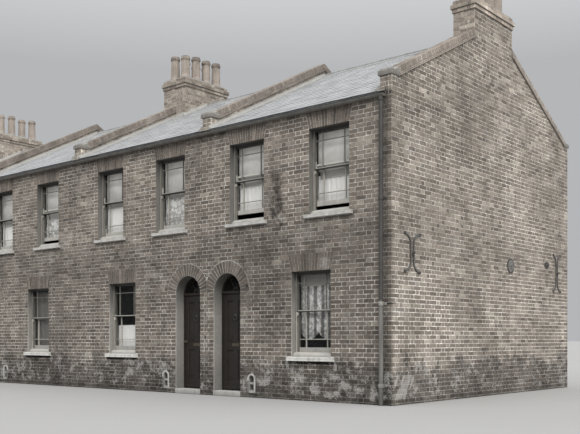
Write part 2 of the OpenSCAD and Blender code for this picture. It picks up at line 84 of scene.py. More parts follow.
def windows():
    """(name, side, centre x, width, sill, head, lift) of every opening."""
    out = []
    for xc in PAIRS:
        for s in SIDES:
            h = HOUSE[(xc, s)]
            a = LIFT_IN if h == "a" else 0
            c = LIFT if h in "ac" else 0
            out.append((h + "_ground", 1, xc + s * 2.632, 0.900, 0.786, 2.314, 0))
            out.append((h + "_inner", 1, xc + s * 1.075, 0.888, 3.311, 4.829, a))
            out.append((h + "_outer", 1, xc + s * 3.037, 0.888, 3.311, 4.829, c))
            out.append((h + "_back_ground", -1, xc + s * 3.037, 0.888, 0.786, 2.314, 0))
            out.append((h + "_back_inner", -1, xc + s * 1.075, 0.888, 3.311, 4.829, 0))
            out.append((h + "_back_outer", -1, xc + s * 3.037, 0.888, 3.311, 4.829, 0))
    return out


WINDOWS = windows()


def fz0(w):
    return w[4] + T_SILL


def fz1(w):
    return w[5] - FR_W


def meet(w):
    return (fz0(w) + fz1(w)) / 2 + 0.026


# ---------------------------------------------------------------- node-tree shorthand
class G:
    """A material and short calls for its nodes."""

    def __init__(self, name, **sockets):
        self.m = bpy.data.materials.new(name)
        self.m.use_nodes = True
        self.t = self.m.node_tree
        self.t.nodes.clear()
        self.out = self.t.nodes.new("ShaderNodeOutputMaterial")
        self.p = self.t.nodes.new("ShaderNodeBsdfPrincipled")
        self.t.links.new(self.p.outputs[0], self.out.inputs[0])
        for k, v in sockets.items():
            self.p.inputs[k.replace("_", " ")].default_value = v
        self._obj = None

    def n(self, kind, **props):
        node = self.t.nodes.new(kind)
        for k, v in props.items():
            setattr(node, k, v)
        return node

    def put(self, socket, value):
        if isinstance(value, bpy.types.NodeSocket):
            self.t.links.new(value, socket)
        else:
            socket.default_value = value

    def obj(self):
        if self._obj is None:
            self._obj = self.n("ShaderNodeTexCoord").outputs["Object"]
        return self._obj

    def xyz(self):
        s = self.n("ShaderNodeSeparateXYZ")
        self.put(s.inputs[0], self.obj())
        return s.outputs[0], s.outputs[1], s.outputs[2]

    def scaled(self, sx, sy, sz, vec=None):
        node = self.n("ShaderNodeVectorMath", operation="MULTIPLY")
        self.put(node.inputs[0], vec or self.obj())
        node.inputs[1].default_value = (sx, sy, sz)
        return node.outputs[0]

    def noise(self, scale, detail=3.0, rough=0.55, vec=None, out=0):
        node = self.n("ShaderNodeTexNoise")
        self.put(node.inputs["Vector"], vec or self.obj())
        node.inputs["Scale"].default_value = scale
        node.inputs["Detail"].default_value = detail
        node.inputs["Roughness"].default_value = rough
        return node.outputs[out]

    def voronoi(self, scale, feature="F1", vec=None, out=0, randomness=1.0):
        node = self.n("ShaderNodeTexVoronoi", feature=feature)
        self.put(node.inputs["Vector"], vec or self.obj())
        node.inputs["Scale"].default_value = scale
        node.inputs["Randomness"].default_value = randomness
        return node.outputs[out]

    def wave(self, scale, distortion=0.0, direction="X", vec=None, detail=1.0, kind="BANDS"):
        node = self.n("ShaderNodeTexWave", wave_type=kind)
        if kind == "BANDS":
            node.bands_direction = direction
        self.put(node.inputs["Vector"], vec or self.obj())
        node.inputs["Scale"].default_value = scale
        node.inputs["Distortion"].default_value = distortion
        node.inputs["Detail"].default_value = detail
        return node.outputs[1]

    def math(self, op, a, b=0.0, clamp=False):
        node = self.n("ShaderNodeMath", operation=op, use_clamp=clamp)
        self.put(node.inputs[0], a)
        self.put(node.inputs[1], b)
        return node.outputs[0]

    def step(self, value, low, high, a=0.0, b=1.0, smooth=True):
        node = self.n("ShaderNodeMapRange", clamp=True)
        node.interpolation_type = "SMOOTHSTEP" if smooth else "LINEAR"
        self.put(node.inputs["Value"], value)
        node.inputs["From Min"].default_value = low
        node.inputs["From Max"].default_value = high
        node.inputs["To Min"].default_value = a
        node.inputs["To Max"].default_value = b
        return node.outputs[0]

    def ramp(self, fac, stops, mode="LINEAR"):
        node = self.n("ShaderNodeValToRGB")
        self.put(node.inputs[0], fac)
        r = node.color_ramp
        r.interpolation = mode
        while len(r.elements) < len(stops):
            r.elements.new(0.5)
        for e, (pos, col) in zip(r.elements, stops):
            e.position = pos
            e.color = (*col, 1.0)
        return node.outputs[0]

    def mix(self, fac, a, b, mode="MIX"):
        node = self.n("ShaderNodeMix", data_type="RGBA", blend_type=mode)
        node.clamp_factor = True
        self.put(node.inputs[0], fac)
        for i, v in ((6, a), (7, b)):
            self.put(node.inputs[i], v if isinstance(v, bpy.types.NodeSocket) else (*v, 1.0))
        return node.outputs[2]

    def grey(self, value):
        node = self.n("ShaderNodeCombineColor")
        for i in range(3):
            self.put(node.inputs[i], value)
        return node.outputs[0]

    def times(self, colour, value):
        """colour darkened or lightened by a value."""
        return self.mix(1.0, colour, self.grey(value), "MULTIPLY")

    def attr(self, name, out="Color"):
        return self.n("ShaderNodeAttribute", attribute_name=name).outputs[out]

    def tone(self):
        s = self.n("ShaderNodeSeparateColor")
        self.put(s.inputs[0], self.attr("tone"))
        return s.outputs[0], s.outputs[1], s.outputs[2]

    def color(self, socket):
        self.put(self.p.inputs["Base Color"], socket)
        return self

    def rough(self, socket):
        self.put(self.p.inputs["Roughness"], socket)
        return self

    def bump(self, height, strength=0.4, distance=0.004, before=None):
        node = self.n("ShaderNodeBump")
        node.inputs["Strength"].default_value = strength
        node.inputs["Distance"].default_value = distance
        self.put(node.inputs["Height"], height)
        if before is not None:
            self.put(node.inputs["Normal"], before)
        self.put(self.p.inputs["Normal"], node.outputs[0])
        return node.outputs[0]


# ---------------------------------------------------------------- materials
# crisp white salt patches at the foot of the front wall: x, z and half sizes
SALTS = ((6.62, 0.40, 0.13, 0.06), (6.96, 0.20, 0.10, 0.08), (7.35, 0.12, 0.18, 0.06), (8.20, 0.15, 0.05, 0.14),
         (1.87, 0.39, 0.13, 0.08), (7.19, 2.42, 0.13, 0.09), (5.70, 0.30, 0.16, 0.07), (7.40, 0.42, 0.11, 0.05),
         (7.63, 0.30, 0.10, 0.07), (7.93, 0.23, 0.09, 0.07), (7.41, 0.64, 0.03, 0.09), (6.32, 0.65, 0.03, 0.06))
# streaks where water has run down the front: x, half width, foot, top and depth of tone
STAINS = ((6.05, 0.23, 2.98, 4.30, 0.60), (6.05, 0.17, 2.99, 3.75, 0.60), (4.69, 0.20, 4.93, 5.25, 0.75), (4.05, 0.30, 4.85, 5.2, 0.35),
          (-1.9, 0.22, 3.0, 4.4, 0.25), (-6.3, 0.2, 2.9, 4.8, 0.3))


def weather(g, soot_and_shade=1.0, salts=1.0):
    """Darkening and whitening of masonry by its place on the walls: (multiplier, pale share)."""
    x, y, z = g.xyz()
    ax, ay = g.math("ABSOLUTE", x), g.math("ABSOLUTE", y)
    blot = g.noise(0.55, 3, 0.6)
    fine = g.noise(2.6, 4, 0.6)
    streak = g.noise(1.0, 4, 0.6, vec=g.scaled(1.7, 1.7, 0.22))
    k = g.math("ADD", g.step(blot, 0.3, 0.7, 0.84, 1.16), g.step(fine, 0.25, 0.75, -0.13, 0.13))
    k = g.math("MULTIPLY", k, g.step(streak, 0.34, 0.62, 0.88, 1.05))
    # the end walls are paler and less sooty than the street front, and paler still towards the back: painted light for
    # the brighter-lit gable as well
    ends = g.step(ax, 8.56, 8.573, smooth=False)
    k = g.math("MULTIPLY", k, g.math("ADD", 1.0, g.math("MULTIPLY", ends, g.step(y, -2.5, 3.6, 0.38, 0.56, smooth=False))))
    # darker below the eaves, in patches: soot together with painted shade under the gutter; clean brickwork above the
    # slates
    face = g.step(ay, 3.57, 3.61, smooth=False)
    k = g.math("MULTIPLY", k, g.math("ADD", 1.0, g.math("MULTIPLY", face, g.step(z, 2.9, 3.5, -0.05, 0.12))))
    bright = g.math("MULTIPLY", g.math("MULTIPLY", g.step(ax, 7.40, 7.75), face), g.step(z, 3.0, 3.4))
    k = g.math("MULTIPLY", k, g.math("ADD", 1.0, g.math("MULTIPLY", bright, 0.14)))
    edge = g.math("ADD", z, g.step(streak, 0.3, 0.7, -0.20, 0.20))
    dark = g.math("MULTIPLY", g.math("MULTIPLY", g.step(edge, 4.86, 5.14), g.step(z, 5.22, 5.20)), face)
    k = g.math("MULTIPLY", k, g.math("SUBTRACT", 1.0, g.math("MULTIPLY", dark, 0.26 * soot_and_shade)))
    k = g.math("MULTIPLY", k, g.math("ADD", 1.0, g.math("MULTIPLY", g.math("MULTIPLY", g.step(z, 5.21, 5.24), face), 0.45)))
    # a dirtier belt between the storeys
    belt = g.math("MULTIPLY", g.step(g.math("ADD", z, g.step(fine, 0.3, 0.7, -0.25, 0.25)), 2.25, 2.6),
                  g.step(z, 3.25, 2.95))
    k = g.math("MULTIPLY", k, g.math("SUBTRACT", 1.0, g.math("MULTIPLY", belt, 0.12)))
    # damp foot of the walls
    foot = g.math("ADD", z, g.step(fine, 0.3, 0.7, -0.16, 0.16))
    k = g.math("MULTIPLY", k, g.step(foot, 0.55, 0.80, 0.47, 1.0))
    # a dingier stretch beside the end house's door
    dingy = g.math("MULTIPLY", g.math("MULTIPLY", g.step(x, 5.0, 5.3), g.step(x, 6.4, 6.1)),
                   g.math("MULTIPLY", g.step(z, 0.8, 1.1), g.step(z, 3.1, 2.7)))
    k = g.math("MULTIPLY", k, g.math("SUBTRACT", 1.0, g.math("MULTIPLY", g.math("MULTIPLY", dingy, face), 0.20)))
    # painted shadow: black right under the stone sills
    ux = g.math("ABSOLUTE", g.math("SUBTRACT", ax, P))
    off = [g.math("ABSOLUTE", g.math("SUBTRACT", ux, u)) for u in (1.075, 3.037, 2.632)]
    under = g.math("MULTIPLY", g.math("MULTIPLY", g.step(off[2], 0.530, 0.520), g.step(z, 0.650, 0.662)), g.step(z, 0.7080, 0.7060))
    upper = g.math("MULTIPLY", g.math("MULTIPLY", g.step(g.math("MINIMUM", off[0], off[1]), 0.530, 0.520), g.step(z, 3.206, 3.216)),
                   g.step(z, 3.2475, 3.2450))
    under = g.math("MAXIMUM", g.math("MULTIPLY", under, 0.86), g.math("MULTIPLY", upper, 0.55))
    k = g.math("MULTIPLY", k, g.math("SUBTRACT", 1.0, g.math("MULTIPLY", under, g.step(ay, 3.60, 3.61, smooth=False))))
    k = g.math("MULTIPLY", k, g.step(foot, 0.05, 0.26, 0.80, 1.0))
    # wet walls beside the downpipes, and a painted shadow of the pipe in the strip beside it
    pipe = g.math("MULTIPLY", g.step(ax, 8.20, 8.42), face)
    k = g.math("MULTIPLY", k, g.math("SUBTRACT", 1.0, g.math("MULTIPLY", pipe, g.step(fine, 0.25, 0.6, 0.08, 0.26))))
    # painted shadow: a dark strip right of the downpipe, the pipe's shadow together with damp
    slot = g.math("MULTIPLY", g.math("MULTIPLY", g.step(ax, 8.436, 8.444), g.step(ax, 8.512, 8.492)), face)
    k = g.math("MULTIPLY", k, g.math("SUBTRACT", 1.0, g.math("MULTIPLY", slot, 0.34)))
    # painted shade: a broken corner brick, a putlog hole and another hole left open, drawn as dark patches for their
    # shaded hollows
    street = g.step(y, -3.48, -3.50)
    chip = g.math("MULTIPLY", g.math("MULTIPLY", g.step(g.math("ADD", z, g.step(fine, 0.3, 0.7, -0.02, 0.02)), 1.664, 1.674), g.step(z, 1.710, 1.700)),
                  g.math("MULTIPLY", street, g.step(ax, 8.455, 8.475)))
    hole = g.math("POWER", g.math("ADD", g.math("POWER", g.math("SUBTRACT", x, 4.64), 2.0),
                                  g.math("POWER", g.math("SUBTRACT", z, 4.04), 2.0)), 0.5)
    chip = g.math("MAXIMUM", chip, g.math("MULTIPLY", g.step(hole, 0.028, 0.018), street))
    hole = g.math("POWER", g.math("ADD", g.math("POWER", g.math("SUBTRACT", x, 5.317), 2.0),
                                  g.math("POWER", g.math("SUBTRACT", z, 2.103), 2.0)), 0.5)
    chip = g.math("MAXIMUM", chip, g.math("MULTIPLY", g.step(hole, 0.034, 0.022), street))
    k = g.math("MULTIPLY", k, g.math("SUBTRACT", 1.0, g.math("MULTIPLY", chip, 0.80)))
    front = g.step(y, -3.2, -3.3)
    for sx, hw, z0, z1, amt in STAINS:
        dx = g.math("ABSOLUTE", g.math("SUBTRACT", g.math("ADD", x, g.step(fine, 0.2, 0.8, -0.12, 0.12)), sx))
        m = g.math("MULTIPLY", g.step(dx, hw, hw * 0.25), g.math("MULTIPLY", g.step(z, z0, z0 + 0.12 + 0.2 * (z1 - z0)), g.step(z, z1, z1 - 0.1)))
        m = g.math("MULTIPLY", m, g.step(g.noise(5.5, 4, 0.7), 0.35, 0.6))
        k = g.math("MULTIPLY", k, g.math("SUBTRACT", 1.0, g.math("MULTIPLY", g.math("MULTIPLY", m, front), amt)))
    # salts in crisp patches low down, thin bloom higher up
    low = g.math("MULTIPLY", g.step(z, 0.05, 0.2), g.step(z, 0.85, 0.45))
    salt = g.math("MULTIPLY", g.step(g.noise(4.6, 10, 0.88), 0.540, 0.556), low)
    ragged = g.step(g.noise(12, 8, 0.85), 0.34, 0.66, 1.6, -1.5)
    for sx, sz, rx, rz in SALTS:
        e = g.math("ADD", g.math("POWER", g.math("DIVIDE", g.math("SUBTRACT", x, sx), rx), 2.0),
                   g.math("POWER", g.math("DIVIDE", g.math("SUBTRACT", z, sz), rz), 2.0))
        e = g.math("ADD", e, ragged)
        m = g.math("MULTIPLY", g.step(e, 1.05, 0.9), g.step(y, -3.60, -3.61, smooth=False))
        m = g.math("MULTIPLY", m, g.step(g.noise(27, 4, 0.72), 0.38, 0.56, 0.18, 1.0))
        salt = g.math("MAXIMUM", salt, g.math("MULTIPLY", m, 1.4))
    # chalky runs at the gable's near corner
    slant = g.n("ShaderNodeCombineXYZ")
    g.put(slant.inputs[0], g.math("MULTIPLY", g.math("SUBTRACT", y, g.math("MULTIPLY", z, 0.45)), 8.0))
    g.put(slant.inputs[2], g.math("MULTIPLY", z, 2.2))
    runs = g.step(g.noise(1.0, 5, 0.7, vec=slant.outputs[0]), 0.47, 0.56)
    runs = g.math("MULTIPLY", runs, g.math("MULTIPLY", g.step(x, 8.56, 8.57, smooth=False),
                                           g.math("MULTIPLY", g.step(y, -2.85, -3.05), g.step(y, -3.59, -3.52))))
    runs = g.math("MULTIPLY", runs, g.math("MULTIPLY", g.step(z, 0.52, 0.44), g.step(z, 0.06, 0.16)))
    salt = g.math("MAXIMUM", salt, g.math("MULTIPLY", runs, 1.1))
    bloom = g.math("MULTIPLY", g.step(g.noise(1.1, 5, 0.72), 0.56, 0.70), 0.40)
    pale = g.math("MULTIPLY", g.math("ADD", g.math("MULTIPLY", salt, 1.7), bloom, clamp=True), 0.45 * salts)
    return k, pale


def mat_brick(name, stops, soot_and_shade=1.0, salts=1.0, gain=1.0):
    g = G(name, Roughness=0.92)
    g.p.inputs["Specular IOR Level"].default_value = 0.25
    r1, r2, r3 = g.tone()
    base = g.ramp(r1, stops)
    base = g.times(base, g.step(r2, 0.0, 1.0, 0.82 * gain, 1.18 * gain, smooth=False))
    base = g.times(base, g.step(r3, 0.05, 0.06, 1.32, 1.0))
    # each brick's own mottling, burnt ends and pits
    mott = g.noise(26, 4, 0.65)
    base = g.times(base, g.step(mott, 0.3, 0.7, 0.80, 1.20))
    splash = g.math("MULTIPLY", g.step(g.noise(31, 4, 0.7), 0.62, 0.68), 0.50)
    base = g.mix(splash, base, (0.36, 0.345, 0.315))
    pits = g.step(g.voronoi(120), 0.05, 0.22, 0.80, 1.0)
    base = g.times(base, pits)
    burnt = g.math("MULTIPLY", g.step(r3, 0.90, 0.96), g.step(g.noise(9, 3), 0.42, 0.62))
    base = g.mix(g.math("MULTIPLY", burnt, 0.5), base, (0.075, 0.066, 0.060))
    k, pale = weather(g, soot_and_shade, salts)
    base = g.times(base, k)
    base = g.mix(pale, base, (0.54, 0.525, 0.50))
    g.color(base)
    g.bump(g.math("ADD", g.math("MULTIPLY", mott, 0.5), g.math("MULTIPLY", g.noise(95, 3), 0.5)), 0.5, 0.003)
    return g.m


STOCK = [(0.0, (0.108, 0.090, 0.075)), (0.25, (0.140, 0.118, 0.098)), (0.65, (0.164, 0.140, 0.117)),
         (0.92, (0.190, 0.165, 0.138)), (1.0, (0.240, 0.213, 0.180))]
ARCH = [(0.0, (0.094, 0.079, 0.066)), (0.5, (0.136, 0.115, 0.097)), (1.0, (0.204, 0.176, 0.150))]
RED = [(0.0, (0.150, 0.127, 0.109)), (0.5, (0.172, 0.148, 0.127)), (1.0, (0.200, 0.174, 0.150))]


def mat_masonry():
    """Bedding mortar on the outer faces, limewashed render in reveals, and near black on the walls of the rooms as
    painted shade.
    """
    g = G("masonry", Roughness=0.95)
    g.p.inputs["Specular IOR Level"].default_value = 0.2
    x, y, z = g.xyz()
    ax, ay = g.math("ABSOLUTE", x), g.math("ABSOLUTE", y)
    above = g.math("SUBTRACT", z, g.math("ADD", EAVES + M * (MID + OVER) - 0.02, g.math("MULTIPLY", ay, -M)))
    out = g.math("MAXIMUM", g.step(ay, 3.6165, 3.6180, smooth=False), g.step(ax, 8.5710, 8.5725, smooth=False))
    out = g.math("MAXIMUM", out, g.step(above, 0.0, 0.002, smooth=False))
    grit = g.noise(60, 4, 0.7)
    mortar = g.mix(g.step(g.noise(7, 5, 0.7), 0.3, 0.7), (0.250, 0.237, 0.217), (0.560, 0.540, 0.505))
    mortar = g.times(mortar, g.step(g.noise(0.8, 4, 0.65), 0.32, 0.68, 0.80, 1.24))
    mortar = g.times(mortar, g.step(g.noise(22, 3, 0.6), 0.35, 0.65, 0.78, 1.24))
    mortar = g.times(mortar, g.step(z, 1.5, 2.6, 1.15, 0.95))
    mortar = g.times(mortar, g.step(grit, 0.3, 0.7, 0.85, 1.1))
    k, pale = weather(g, 0.9, 1.0)
    mortar = g.times(mortar, k)
    mortar = g.mix(pale, mortar, (0.60, 0.585, 0.555))
    # limewash, stained from the ground up
    wash = g.mix(g.noise(3.2, 5, 0.65), (0.185, 0.176, 0.161), (0.270, 0.259, 0.240))
    wash = g.times(wash, g.step(g.noise(14, 4, 0.7), 0.25, 0.75, 0.88, 1.06))
    wash = g.times(wash, g.step(g.math("ADD", z, g.step(grit, 0.3, 0.7, -0.2, 0.2)), 0.1, 1.0, 0.74, 1.0))
    # painted light: the reveals lighter low down
    wash = g.times(wash, g.step(z, 1.4, 2.0, 1.22, 1.0))
    wash = g.times(wash, g.step(z, 2.9, 3.2, 1.0, 0.80))
    arris = g.math("MULTIPLY", g.step(ay, 3.590, 3.602), g.step(z, 2.75, 2.7))
    wash = g.times(wash, g.math("ADD", 1.0, g.math("MULTIPLY", arris, 0.6)))
    # painted shade: the reveals darker towards the window and door heads, under the arches
    head = g.math("MAXIMUM", g.math("MULTIPLY", g.step(z, 4.25, 4.80), g.step(z, 5.0, 4.9)),
                  g.math("MULTIPLY", g.step(z, 1.55, 2.30), g.step(z, 2.9, 2.6)))
    wash = g.times(wash, g.math("SUBTRACT", 1.0, g.math("MULTIPLY", head, 0.44)))
    # painted shade: the walls inside the rooms near black, for the dim interiors
    room = g.step(ay, 3.384, 3.392, 1.0, 0.0, smooth=False)
    g.color(g.mix(out, g.mix(room, wash, (0.050, 0.046, 0.040)), mortar))
    g.bump(grit, 0.5, 0.003)
    return g.m


def mat_mortar(name="mortar", lo=(0.225, 0.210, 0.190), hi=(0.345, 0.328, 0.300), soot_and_shade=0.0):
    g = G(name, Roughness=0.95)
    g.p.inputs["Specular IOR Level"].default_value = 0.2
    grit = g.noise(60, 4, 0.7)
    c = g.mix(g.noise(6, 4, 0.65), lo, hi)
    c = g.times(c, g.step(grit, 0.3, 0.7, 0.84, 1.12))
    if soot_and_shade:
        c = g.times(c, g.step(g.noise(1.8, 4, 0.6), 0.3, 0.7, 1.0 - soot_and_shade, 1.0))
    g.color(c)
    g.bump(grit, 0.6, 0.004)
    return g.m


def mat_stone(name, lo, hi, foot=False, sills=False, legs=False):
    g = G(name, Roughness=0.85)
    g.p.inputs["Specular IOR Level"].default_value = 0.3
    x, y, z = g.xyz()
    c = g.mix(g.noise(4.5, 5, 0.65), lo, hi)
    c = g.times(c, g.step(g.noise(40, 4, 0.7), 0.25, 0.75, 0.88, 1.08))
    # run-off grime under the front edge and in vertical runs
    run = g.noise(1.0, 4, 0.6, vec=g.scaled(14, 14, 1.5))
    c = g.times(c, g.step(run, 0.32, 0.6, 0.80, 1.03))
    specks = g.step(g.voronoi(70), 0.04, 0.16, 0.72, 1.0)
    c = g.times(c, specks)
    if foot:
        c = g.times(c, g.step(z, 0.0, 0.09, 0.7, 1.0))
    if sills:
        # fronts scrubbed low down, washed clean along the drip
        drip = g.math("MAXIMUM", g.math("MULTIPLY", g.step(z, 3.0, 3.01), g.step(z, 3.270, 3.258)), g.step(z, 0.734, 0.720))
        c = g.times(c, g.math("ADD", 1.0, g.math("MULTIPLY", drip, 0.34)))
        c = g.times(c, g.step(z, 0.9, 0.8, 1.0, 1.24))
    if legs:
        # one leg of each scraper's surround is dirtier, and both are at the foot
        u = g.math("SUBTRACT", g.math("ABSOLUTE", x), P)
        u = g.math("MINIMUM", g.math("ADD", g.math("MULTIPLY", g.math("GREATER_THAN", u, 0.0), 9.0), g.math("ADD", u, 1.205)),
                   g.math("ADD", g.math("MULTIPLY", g.math("LESS_THAN", u, 0.0), 9.0), g.math("SUBTRACT", u, 1.205)))
        leg = g.math("MULTIPLY", g.step(u, -0.048, -0.060), g.step(z, 0.35, 0.30))
        c = g.times(c, g.math("SUBTRACT", 1.0, g.math("MULTIPLY", leg, 0.58)))
        c = g.times(c, g.step(g.noise(23, 4, 0.7), 0.35, 0.60, 0.72, 1.12))
        c = g.times(c, g.step(z, 0.06, 0.22, 0.66, 1.0))
    g.color(c)
    g.bump(g.math("ADD", g.math("MULTIPLY", g.noise(110, 3), 0.5), g.noise(18, 4)), 0.35, 0.004)
    return g.m


def mat_slate(name="welsh_slate", gain=1.0):
    g = G(name, Roughness=0.55)
    g.p.inputs["Specular IOR Level"].default_value = 0.5
    r1, r2, r3 = g.tone()
    c = g.ramp(r1, [(0.0, (0.245, 0.247, 0.251)), (0.35, (0.270, 0.272, 0.275)), (0.75, (0.288, 0.290, 0.291)),
                    (1.0, (0.315, 0.315, 0.314))])
    c = g.times(c, g.step(g.noise(3.0, 5, 0.7), 0.3, 0.7, 0.90 * gain, 1.08 * gain))
    # cleft grain up the slope, and rain streaks
    x, y, z = g.xyz()
    grain = g.noise(1.0, 5, 0.65, vec=g.scaled(60, 12, 22))
    c = g.times(c, g.step(grain, 0.3, 0.7, 0.92, 1.07))
    run = g.noise(1.0, 4, 0.6, vec=g.scaled(7, 0.7, 0.7))
    c = g.times(c, g.step(run, 0.32, 0.66, 0.86, 1.05))
    lichen = g.math("MULTIPLY", g.step(g.noise(11, 5, 0.75), 0.60, 0.70), g.step(r2, 0.4, 0.9))
    c = g.mix(g.math("MULTIPLY", lichen, 0.45), c, (0.46, 0.455, 0.41))
    g.color(c)
    g.rough(g.step(grain, 0.3, 0.7, 0.48, 0.66))
    g.bump(g.math("ADD", grain, g.math("MULTIPLY", g.noise(48, 4, 0.7), 0.7)), 0.35, 0.004)
    return g.m


def mat_clay(name, stops, sooty_from=None, sooty_to=None):
    g = G(name, Roughness=0.8)
    r1, r2, r3 = g.tone()
    x, y, z = g.xyz()
    c = g.ramp(g.noise(5, 5, 0.65), stops)
    c = g.times(c, g.step(g.noise(45, 4, 0.7), 0.25, 0.75, 0.88, 1.1))
    c = g.times(c, g.step(g.noise(1.0, 4, 0.6, vec=g.scaled(18, 18, 2)), 0.3, 0.65, 0.78, 1.04))
    if sooty_from is not None:
        c = g.times(c, g.step(g.math("ADD", z, g.step(g.noise(9, 3), 0.3, 0.7, -0.08, 0.08)), sooty_from, sooty_to, 1.0, 0.42))
    g.color(c)
    g.bump(g.noise(70, 4), 0.4, 0.003)
    return g.m


def mat_paint(name, colour, wear=(0.30, 0.27, 0.22), amount=0.5, rough=0.45, grime=0.75, grain_dir="Z", rails=None, head_shade=False,
              gloss=0.45, lit_lower_bars=False):
    """Old oil paint on timber: brush lines along the wood, grime in runs, chips to grey wood.
    rails paints a sash window's rails and ledges paler than its stiles, as painted light; the flag for the heads paints
    shade under them."""
    g = G(name, Roughness=rough)
    g.p.inputs["Specular IOR Level"].default_value = gloss
    x, y, z = g.xyz()
    v = (70, 70, 5) if grain_dir == "Z" else (5, 70, 70)
    brush = g.noise(1.0, 4, 0.6, vec=g.scaled(*v))
    c = g.mix(g.noise(2.6, 4, 0.6), tuple(k * 0.88 for k in colour), tuple(min(1, k * 1.08) for k in colour))

    def band(z0, z1):
        return g.math("MULTIPLY", g.step(z, z0 - 0.003, z0 + 0.003), g.step(z, z1 + 0.003, z1 - 0.003))
    # painted light: rails and ledges paler than the stiles, and the raised lower sashes' top rails lightened; painted
    # shade under the meeting rails
    if rails:
        # between the stiles of any window
        ux = g.math("ABSOLUTE", g.math("SUBTRACT", g.math("ABSOLUTE", x), P))
        off = [g.math("ABSOLUTE", g.math("SUBTRACT", ux, u)) for u in (1.075, 3.037, 2.632)]
        up = g.math("MULTIPLY", g.step(g.math("MINIMUM", off[0], off[1]), 0.388, 0.382), g.step(z, 2.9, 2.95))
        low = g.math("MULTIPLY", g.step(g.math("MINIMUM", off[2], off[1]), 0.394, 0.388), g.step(z, 2.95, 2.9))
        inner = g.math("MAXIMUM", up, low)
        on = g.math("MAXIMUM", g.math("MAXIMUM", band(4.126, 4.262), band(3.380, 3.585)),
                    g.math("MAXIMUM", band(1.606, 1.640), band(0.855, 0.955)))
        c = g.mix(g.math("MULTIPLY", on, inner), c, rails)
        c = g.times(c, g.math("ADD", 1.0, g.math("MULTIPLY", g.math("ADD", g.math("MULTIPLY", band(4.150, 4.262), 0.8), g.math("MULTIPLY", band(3.380, 3.585), 0.16)), inner)))
        shade = g.math("MAXIMUM", band(4.078, 4.130), band(1.575, 1.606))
        c = g.times(c, g.math("SUBTRACT", 1.0, g.math("MULTIPLY", shade, 0.88)))
    if lit_lower_bars:
        # painted light: the bars of the lower sashes lighter than those of the upper sashes
        c = g.times(c, g.math("MAXIMUM", g.math("MULTIPLY", g.step(z, 4.10, 4.09), g.step(z, 3.0, 3.1, 1.0, 1.75)), 1.0))
        c = g.times(c, g.step(z, 1.60, 1.58, 1.0, 2.2))
    # painted shade: frame heads and top rails darkened under the window heads
    if head_shade:
        soot_and_shade = g.math("MAXIMUM", g.math("MULTIPLY", g.step(z, 4.60, 4.77), g.step(z, 4.90, 4.87)),
                      g.math("MULTIPLY", g.step(z, 2.08, 2.25), g.step(z, 2.40, 2.36)))
        c = g.times(c, g.math("SUBTRACT", 1.0, g.math("MULTIPLY", soot_and_shade, 0.78)))
    c = g.times(c, g.step(brush, 0.3, 0.7, 0.90, 1.06))
    c = g.times(c, g.step(g.noise(6.5, 5, 0.7), 0.28, 0.55, grime, 1.0))
    chip = g.math("MULTIPLY", g.step(g.noise(34, 5, 0.75), 0.66, 0.72), amount)
    c = g.mix(chip, c, wear)
    g.color(c)
    g.rough(g.step(brush, 0.3, 0.7, rough - 0.08, rough + 0.18))
    g.bump(g.math("SUBTRACT", brush, g.math("MULTIPLY", chip, 1.5)), 0.3, 0.0015)
    return g.m


def mat_iron(name, colour, rust=0.35, low=None):
    """Painted cast iron. low = (height, colour) paints it another colour below a height."""
    g = G(name, Roughness=0.5, Metallic=0.0)
    x, y, z = g.xyz()
    c = g.mix(g.noise(9, 4, 0.6), tuple(k * 0.8 for k in colour), tuple(k * 1.25 for k in colour))
    if low:
        edge = g.math("ADD", z, g.step(g.noise(25, 4), 0.3, 0.7, -0.02, 0.02))
        pale = g.times(g.mix(g.noise(5, 4), low[1], tuple(k * 1.12 for k in low[1])),
                       g.step(g.noise(1.0, 4, 0.6, vec=g.scaled(30, 30, 2.2)), 0.3, 0.62, 0.66, 1.02))
        pale = g.times(pale, g.step(z, 0.02, 0.5, 0.55, 1.0))
        # painted highlight: the collars on the pale lower pipe made lighter
        ring = g.math("MAXIMUM", g.math("MULTIPLY", g.step(z, 1.645, 1.650), g.step(z, 1.726, 1.720)),
                      g.math("MULTIPLY", g.step(z, 0.284, 0.289), g.step(z, 0.366, 0.361)))
        pale = g.times(pale, g.math("ADD", 1.0, g.math("MULTIPLY", ring, 0.65)))
        c = g.mix(g.step(edge, low[0], low[0] + 0.012), pale, c)
    r = g.math("MULTIPLY", g.step(g.noise(17, 5, 0.75), 0.56, 0.68), rust)
    c = g.mix(r, c, (0.115, 0.070, 0.045))
    g.color(c)
    g.rough(g.step(g.noise(13, 4), 0.3, 0.7, 0.45, 0.85))
    g.bump(g.noise(55, 4, 0.7), 0.35, 0.002)
    return g.m


def mat_gutter(name):
    """Cast-iron gutter, its old paint gone the tone of the wall, near black along the lip as painted shade."""
    g = G(name, Roughness=0.65, Metallic=0.0)
    x, y, z = g.xyz()
    c = g.mix(g.noise(6, 4, 0.6), (0.088, 0.083, 0.075), (0.140, 0.134, 0.122))
    c = g.times(c, g.step(g.noise(1.0, 4, 0.6, vec=g.scaled(9, 1, 3)), 0.3, 0.65, 0.75, 1.08))
    # painted shade: near black along the top, under the slates' edge
    c = g.mix(g.step(z, 5.146, 5.151), c, (0.020, 0.019, 0.018))
    c = g.mix(g.math("MULTIPLY", g.step(g.noise(17, 5, 0.75), 0.60, 0.70), 0.35), c, (0.105, 0.068, 0.045))
    g.color(c)
    g.bump(g.noise(55, 4, 0.7), 0.35, 0.002)
    return g.m


